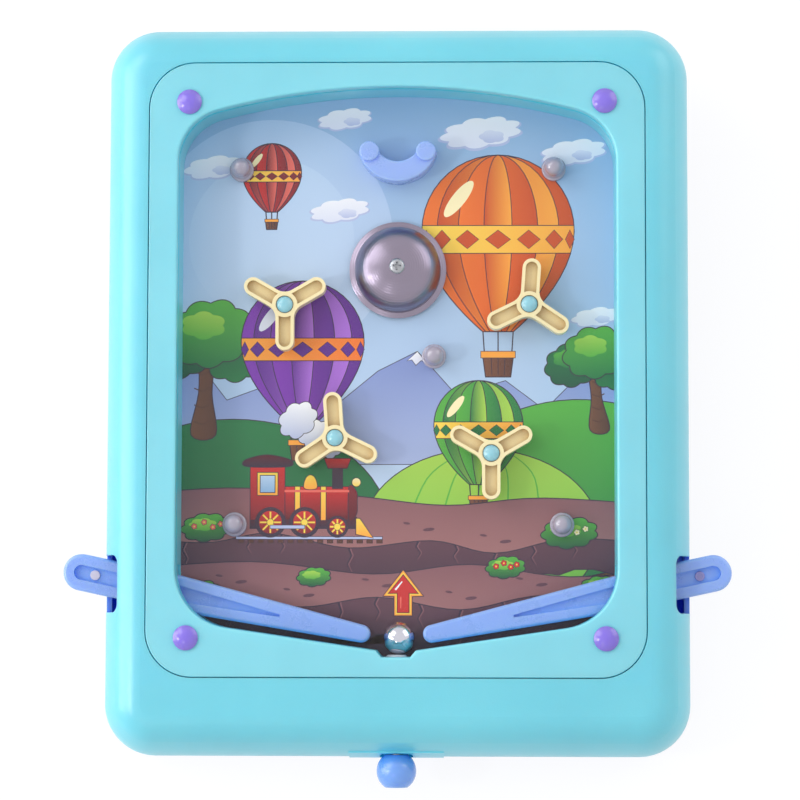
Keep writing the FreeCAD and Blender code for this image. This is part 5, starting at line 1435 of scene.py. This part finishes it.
@dataclass(frozen=True)
class PlungerSpring:
    """The plunger's compression spring, coiled in the place of the frame's rigid one; it keeps its length
    as the knob is pulled.
    """

    wire: float = 0.8
    coils: float = 9.0
    joint: str = "plunger_pull"

    def build(self, cabinet: Cabinet, tree: SpringTree, wardrobe: Wardrobe) -> None:
        """Wind the spring in the place of the frame's rigid one.

        Args:
            cabinet: The case's axes.
            tree: What makes its shape.
            wardrobe: The finishes.
        """
        low, high = extremes(cabinet.spots("plunger_spring"))
        half = self.wire * MM / 2
        front = cabinet.matrix() @ Vector(((low.x + high.x) / 2, low.y + half, (low.z + high.z) / 2))
        length = high.y - low.y
        sizes = ((high.x - low.x) / 2 - half, half, length - 2 * half, self.coils)
        values = {**dict(zip(tree.sizes, sizes)), "Turn": (SLOPE - math.pi / 2, 0.0, 0.0),
                  "Material": wardrobe.of(Finish.WIRE)}
        mesh = tree.stamp("coiled_plunger_spring", [front], values)
        piece = put(mesh, "coiled_plunger_spring", wardrobe.of(Finish.WIRE), "root", "spring_steel",
                    "plunger_spring")
        pull = next(joint for joint in frame["joints"] if joint["name"] == self.joint)
        travel = max(abs(limit) for limit in pull["range_m"])
        1 - travel / length
        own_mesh(piece)


@dataclass(frozen=True)
class GateMark:
    """The round mark that the mould's gate left in a lever's groove, as a thin skin over the frame's."""

    side: str
    profile: tuple[Spot, ...]
    finish: Finish
    height: float = 25.4
    near: float = 0.05
    sides: int = 36

    def build(self, cabinet: Cabinet, wardrobe: Wardrobe) -> None:
        """Turn the mark and set it where the frame's lever has its own.

        Args:
            cabinet: The case's axes.
            wardrobe: The finishes.
        """
        name = f"flipper_{self.side}"
        rim = [spot for spot in cabinet.spots(name) if abs(spot.z / MM - self.height) < self.near]
        low, high = extremes(rim)
        points = [(r * math.cos(math.tau * k / self.sides), r * math.sin(math.tau * k / self.sides), z)
                  for r, z in self.profile for k in range(self.sides)]
        faces = [[row + k, row + (k + 1) % self.sides, row + self.sides + (k + 1) % self.sides,
                  row + self.sides + k] for row in range(0, len(points) - self.sides, self.sides)
                 for k in range(self.sides)]
        lid = list(range(len(points) - self.sides, len(points)))
        mesh = bpy.data.meshes.new(f"gate_mark_{self.side}")
        mesh.from_pydata(points, [], [*faces, lid, list(range(self.sides))[::-1]])
        mesh.transform(cabinet.matrix() @ Matrix.Translation((low + high) / 2) @ Matrix.Scale(MM, 4))
        put(mesh, f"gate_mark_{self.side}", wardrobe.of(self.finish), name, "flipper_blue")


@dataclass(frozen=True)
class Case:
    """The two shells, the bezel with its clear sheet, the feet and the moving pieces' plain finishes."""

    def dress(self, wardrobe: Wardrobe) -> None:
        """Give every frame piece of the case and the mechanism its finish.

        Args:
            wardrobe: The finishes.
        """
        four, sides = range(1, 5), ("left", "right")
        wears = {
            Finish.HOUSING: ["upper_housing"], Finish.BEZEL: ["bezel"], Finish.CLEAR: ["clear_cover"],
            Finish.KNOB: ["plunger_knob"], Finish.CUP: ["catch_cup"], Finish.GONG: ["bell_gong"],
            Finish.WHITE: ["plunger_striker", "plunger_guide", "bell_post"],
            Finish.PURPLE: [f"screw_cap_{index}" for index in four],
            Finish.SPINNER: [f"spinner_{index}" for index in four],
            Finish.HUB_CAP: [f"spinner_cap_{index}" for index in four],
            Finish.PEG: [f"peg_{index}" for index in range(1, 6)],
            Finish.LEVER: [f"flipper_{side}" for side in sides],
            Finish.SHELL: ["lower_shell", *(f"rear_foot_{side}" for side in sides)],
            Finish.RUBBER: [f"front_pad_{side}" for side in sides],
            Finish.WIRE: [f"flipper_spring_{side}" for side in sides],
            Finish.STEEL: ["plunger_rod", "plunger_washer", *(f"spinner_pin_{index}" for index in four),
                           *(f"flipper_pivot_{side}" for side in sides)]}
        for finish, names in wears.items():
            wardrobe.dress(finish, *names)


@dataclass(frozen=True)
class Studio:
    """Floor, lights, world and camera."""

    floor: float = 3.0
    glow: float = 1.08
    share: float = 0.8
    world: float = 0.69
    lens: float = 128.3
    stand: Spot3 = (0.0332, -0.0945, 1.1764)
    target: Spot3 = (0.00162, -0.0057, 0.04)
    lamps: tuple[tuple[str, Spot3, float, float], ...] = (
        ("key", (-1.1, 0.75, 1.15), 0.9, 6.5), ("side", (-1.25, 0.05, 0.34), 0.9, 8.0),
        ("spark", (-0.92, -0.26, 0.87), 0.14, 2.3), ("glint", (-0.37, -0.72, 1.04), 0.08, 0.4),
        ("rim", (1.1, 0.7, 0.6), 1.0, 4.6))

    def build(self, cabinet: Cabinet) -> None:
        """Set the studio round the game.

        Args:
            cabinet: The case's axes.
        """
        self.lay_floor()
        self.light_world()
        for name, place, size, power in self.lamps:
            self.hang(name, Vector(place), size, power)
        self.aim_camera(cabinet)
        bpy.context.scene.view_settings.view_transform = "Standard"

    def lay_floor(self) -> None:
        """A pale floor that reads white where nothing shades it."""
        half = self.floor / 2
        mesh = bpy.data.meshes.new("studio_floor")
        mesh.from_pydata([(-half, -half, 0.0), (half, -half, 0.0), (half, half, 0.0), (-half, half, 0.0)],
                         [], [(0, 1, 2, 3)])
        shader = Shader("studio_floor")
        paint = shader.node("ShaderNodeBsdfDiffuse", {}, {"Color": (0.86, 0.87, 0.88, 1.0)})
        glow = shader.node("ShaderNodeEmission", {}, {"Color": WHITE, "Strength": self.glow})
        share = shader.rays() * self.share
        surface = shader.node("ShaderNodeMixShader", {}, {0: share, 1: paint, 2: glow})
        mesh.materials.append(shader.finish(surface))
        floor = bpy.data.objects.new("studio_floor", mesh)
        bpy.context.scene.collection.objects.link(floor)

    def light_world(self) -> None:
        """A white surround that lights softly and shows white behind the game."""
        world = bpy.data.worlds.new("studio_world")
        world.use_nodes = True
        graph = Graph(world.node_tree)
        soft, seen = (graph.node("ShaderNodeBackground", {}, {"Color": WHITE, "Strength": light})
                      for light in (self.world, 1.0))
        surface = graph.node("ShaderNodeMixShader", {}, {0: graph.rays(), 1: soft, 2: seen})
        graph.node("ShaderNodeOutputWorld", {}, {"Surface": surface}, None)
        bpy.context.scene.world = world

    def hang(self, name: str, place: Vector, size: float, power: float) -> None:
        """Hang a square soft lamp that looks at the game.

        Args:
            name: The lamp's name.
            place: Where it hangs.
            size: Its side.
            power: Its power in watts.
        """
        lamp = bpy.data.lights.new(name, "AREA")
        lamp.size, lamp.energy = size, power
        light = bpy.data.objects.new(name, lamp)
        light.location = place
        light.rotation_euler = (-place).to_track_quat("-Z", "Y").to_euler()
        bpy.context.scene.collection.objects.link(light)

    def aim_camera(self, cabinet: Cabinet) -> None:
        """Stand the camera where the photograph was taken from, with no roll to the case.

        Args:
            cabinet: The case's axes.
        """
        place = cabinet.matrix() @ Vector(self.stand)
        back = (place - cabinet.matrix() @ Vector(self.target)).normalized()
        right = Vector((1.0, 0.0, 0.0))
        right = (right - back * right.dot(back)).normalized()
        camera = bpy.data.objects.new("camera", bpy.data.cameras.new("camera"))
        camera.data.lens = self.lens
        turn = Matrix((right, back.cross(right), back)).transposed()
        camera.matrix_world = Matrix.Translation(place) @ turn.to_4x4()
        bpy.context.scene.collection.objects.link(camera)
        bpy.context.scene.camera = camera


def main() -> None:
    """Build the game piece by piece, then the studio."""
    logging.basicConfig(level=logging.INFO, format="%(message)s")
    cabinet, wardrobe = Cabinet.read(), Wardrobe()
    Case().dress(wardrobe)
    Playfield().build(cabinet, wardrobe)
    Ball().build(wardrobe)
    tree = ScrewTree()
    for screws in (Screws("bell_screw", 1.5, 3.1, 1.9, True), Screws("bezel_screws", heads_up=True),
                   Screws("board_screws"), Screws("cup_screws"), Screws("case_screws")):
        screws.build(cabinet, tree, wardrobe)
    PlungerSpring().build(cabinet, SpringTree(), wardrobe)
    disc = ((2.0, -0.72), (2.0, -0.02), (1.9, 0.1))
    ring = ((1.98, -0.72), (1.98, -0.02), (1.85, 0.16), (1.15, 0.16), (1.0, 0.04))
    for mark in (GateMark("left", disc, Finish.GATE), GateMark("right", ring, Finish.GATE_RING)):
        mark.build(cabinet, wardrobe)
    Studio().build(cabinet)


if __name__ == "__main__":
    main()
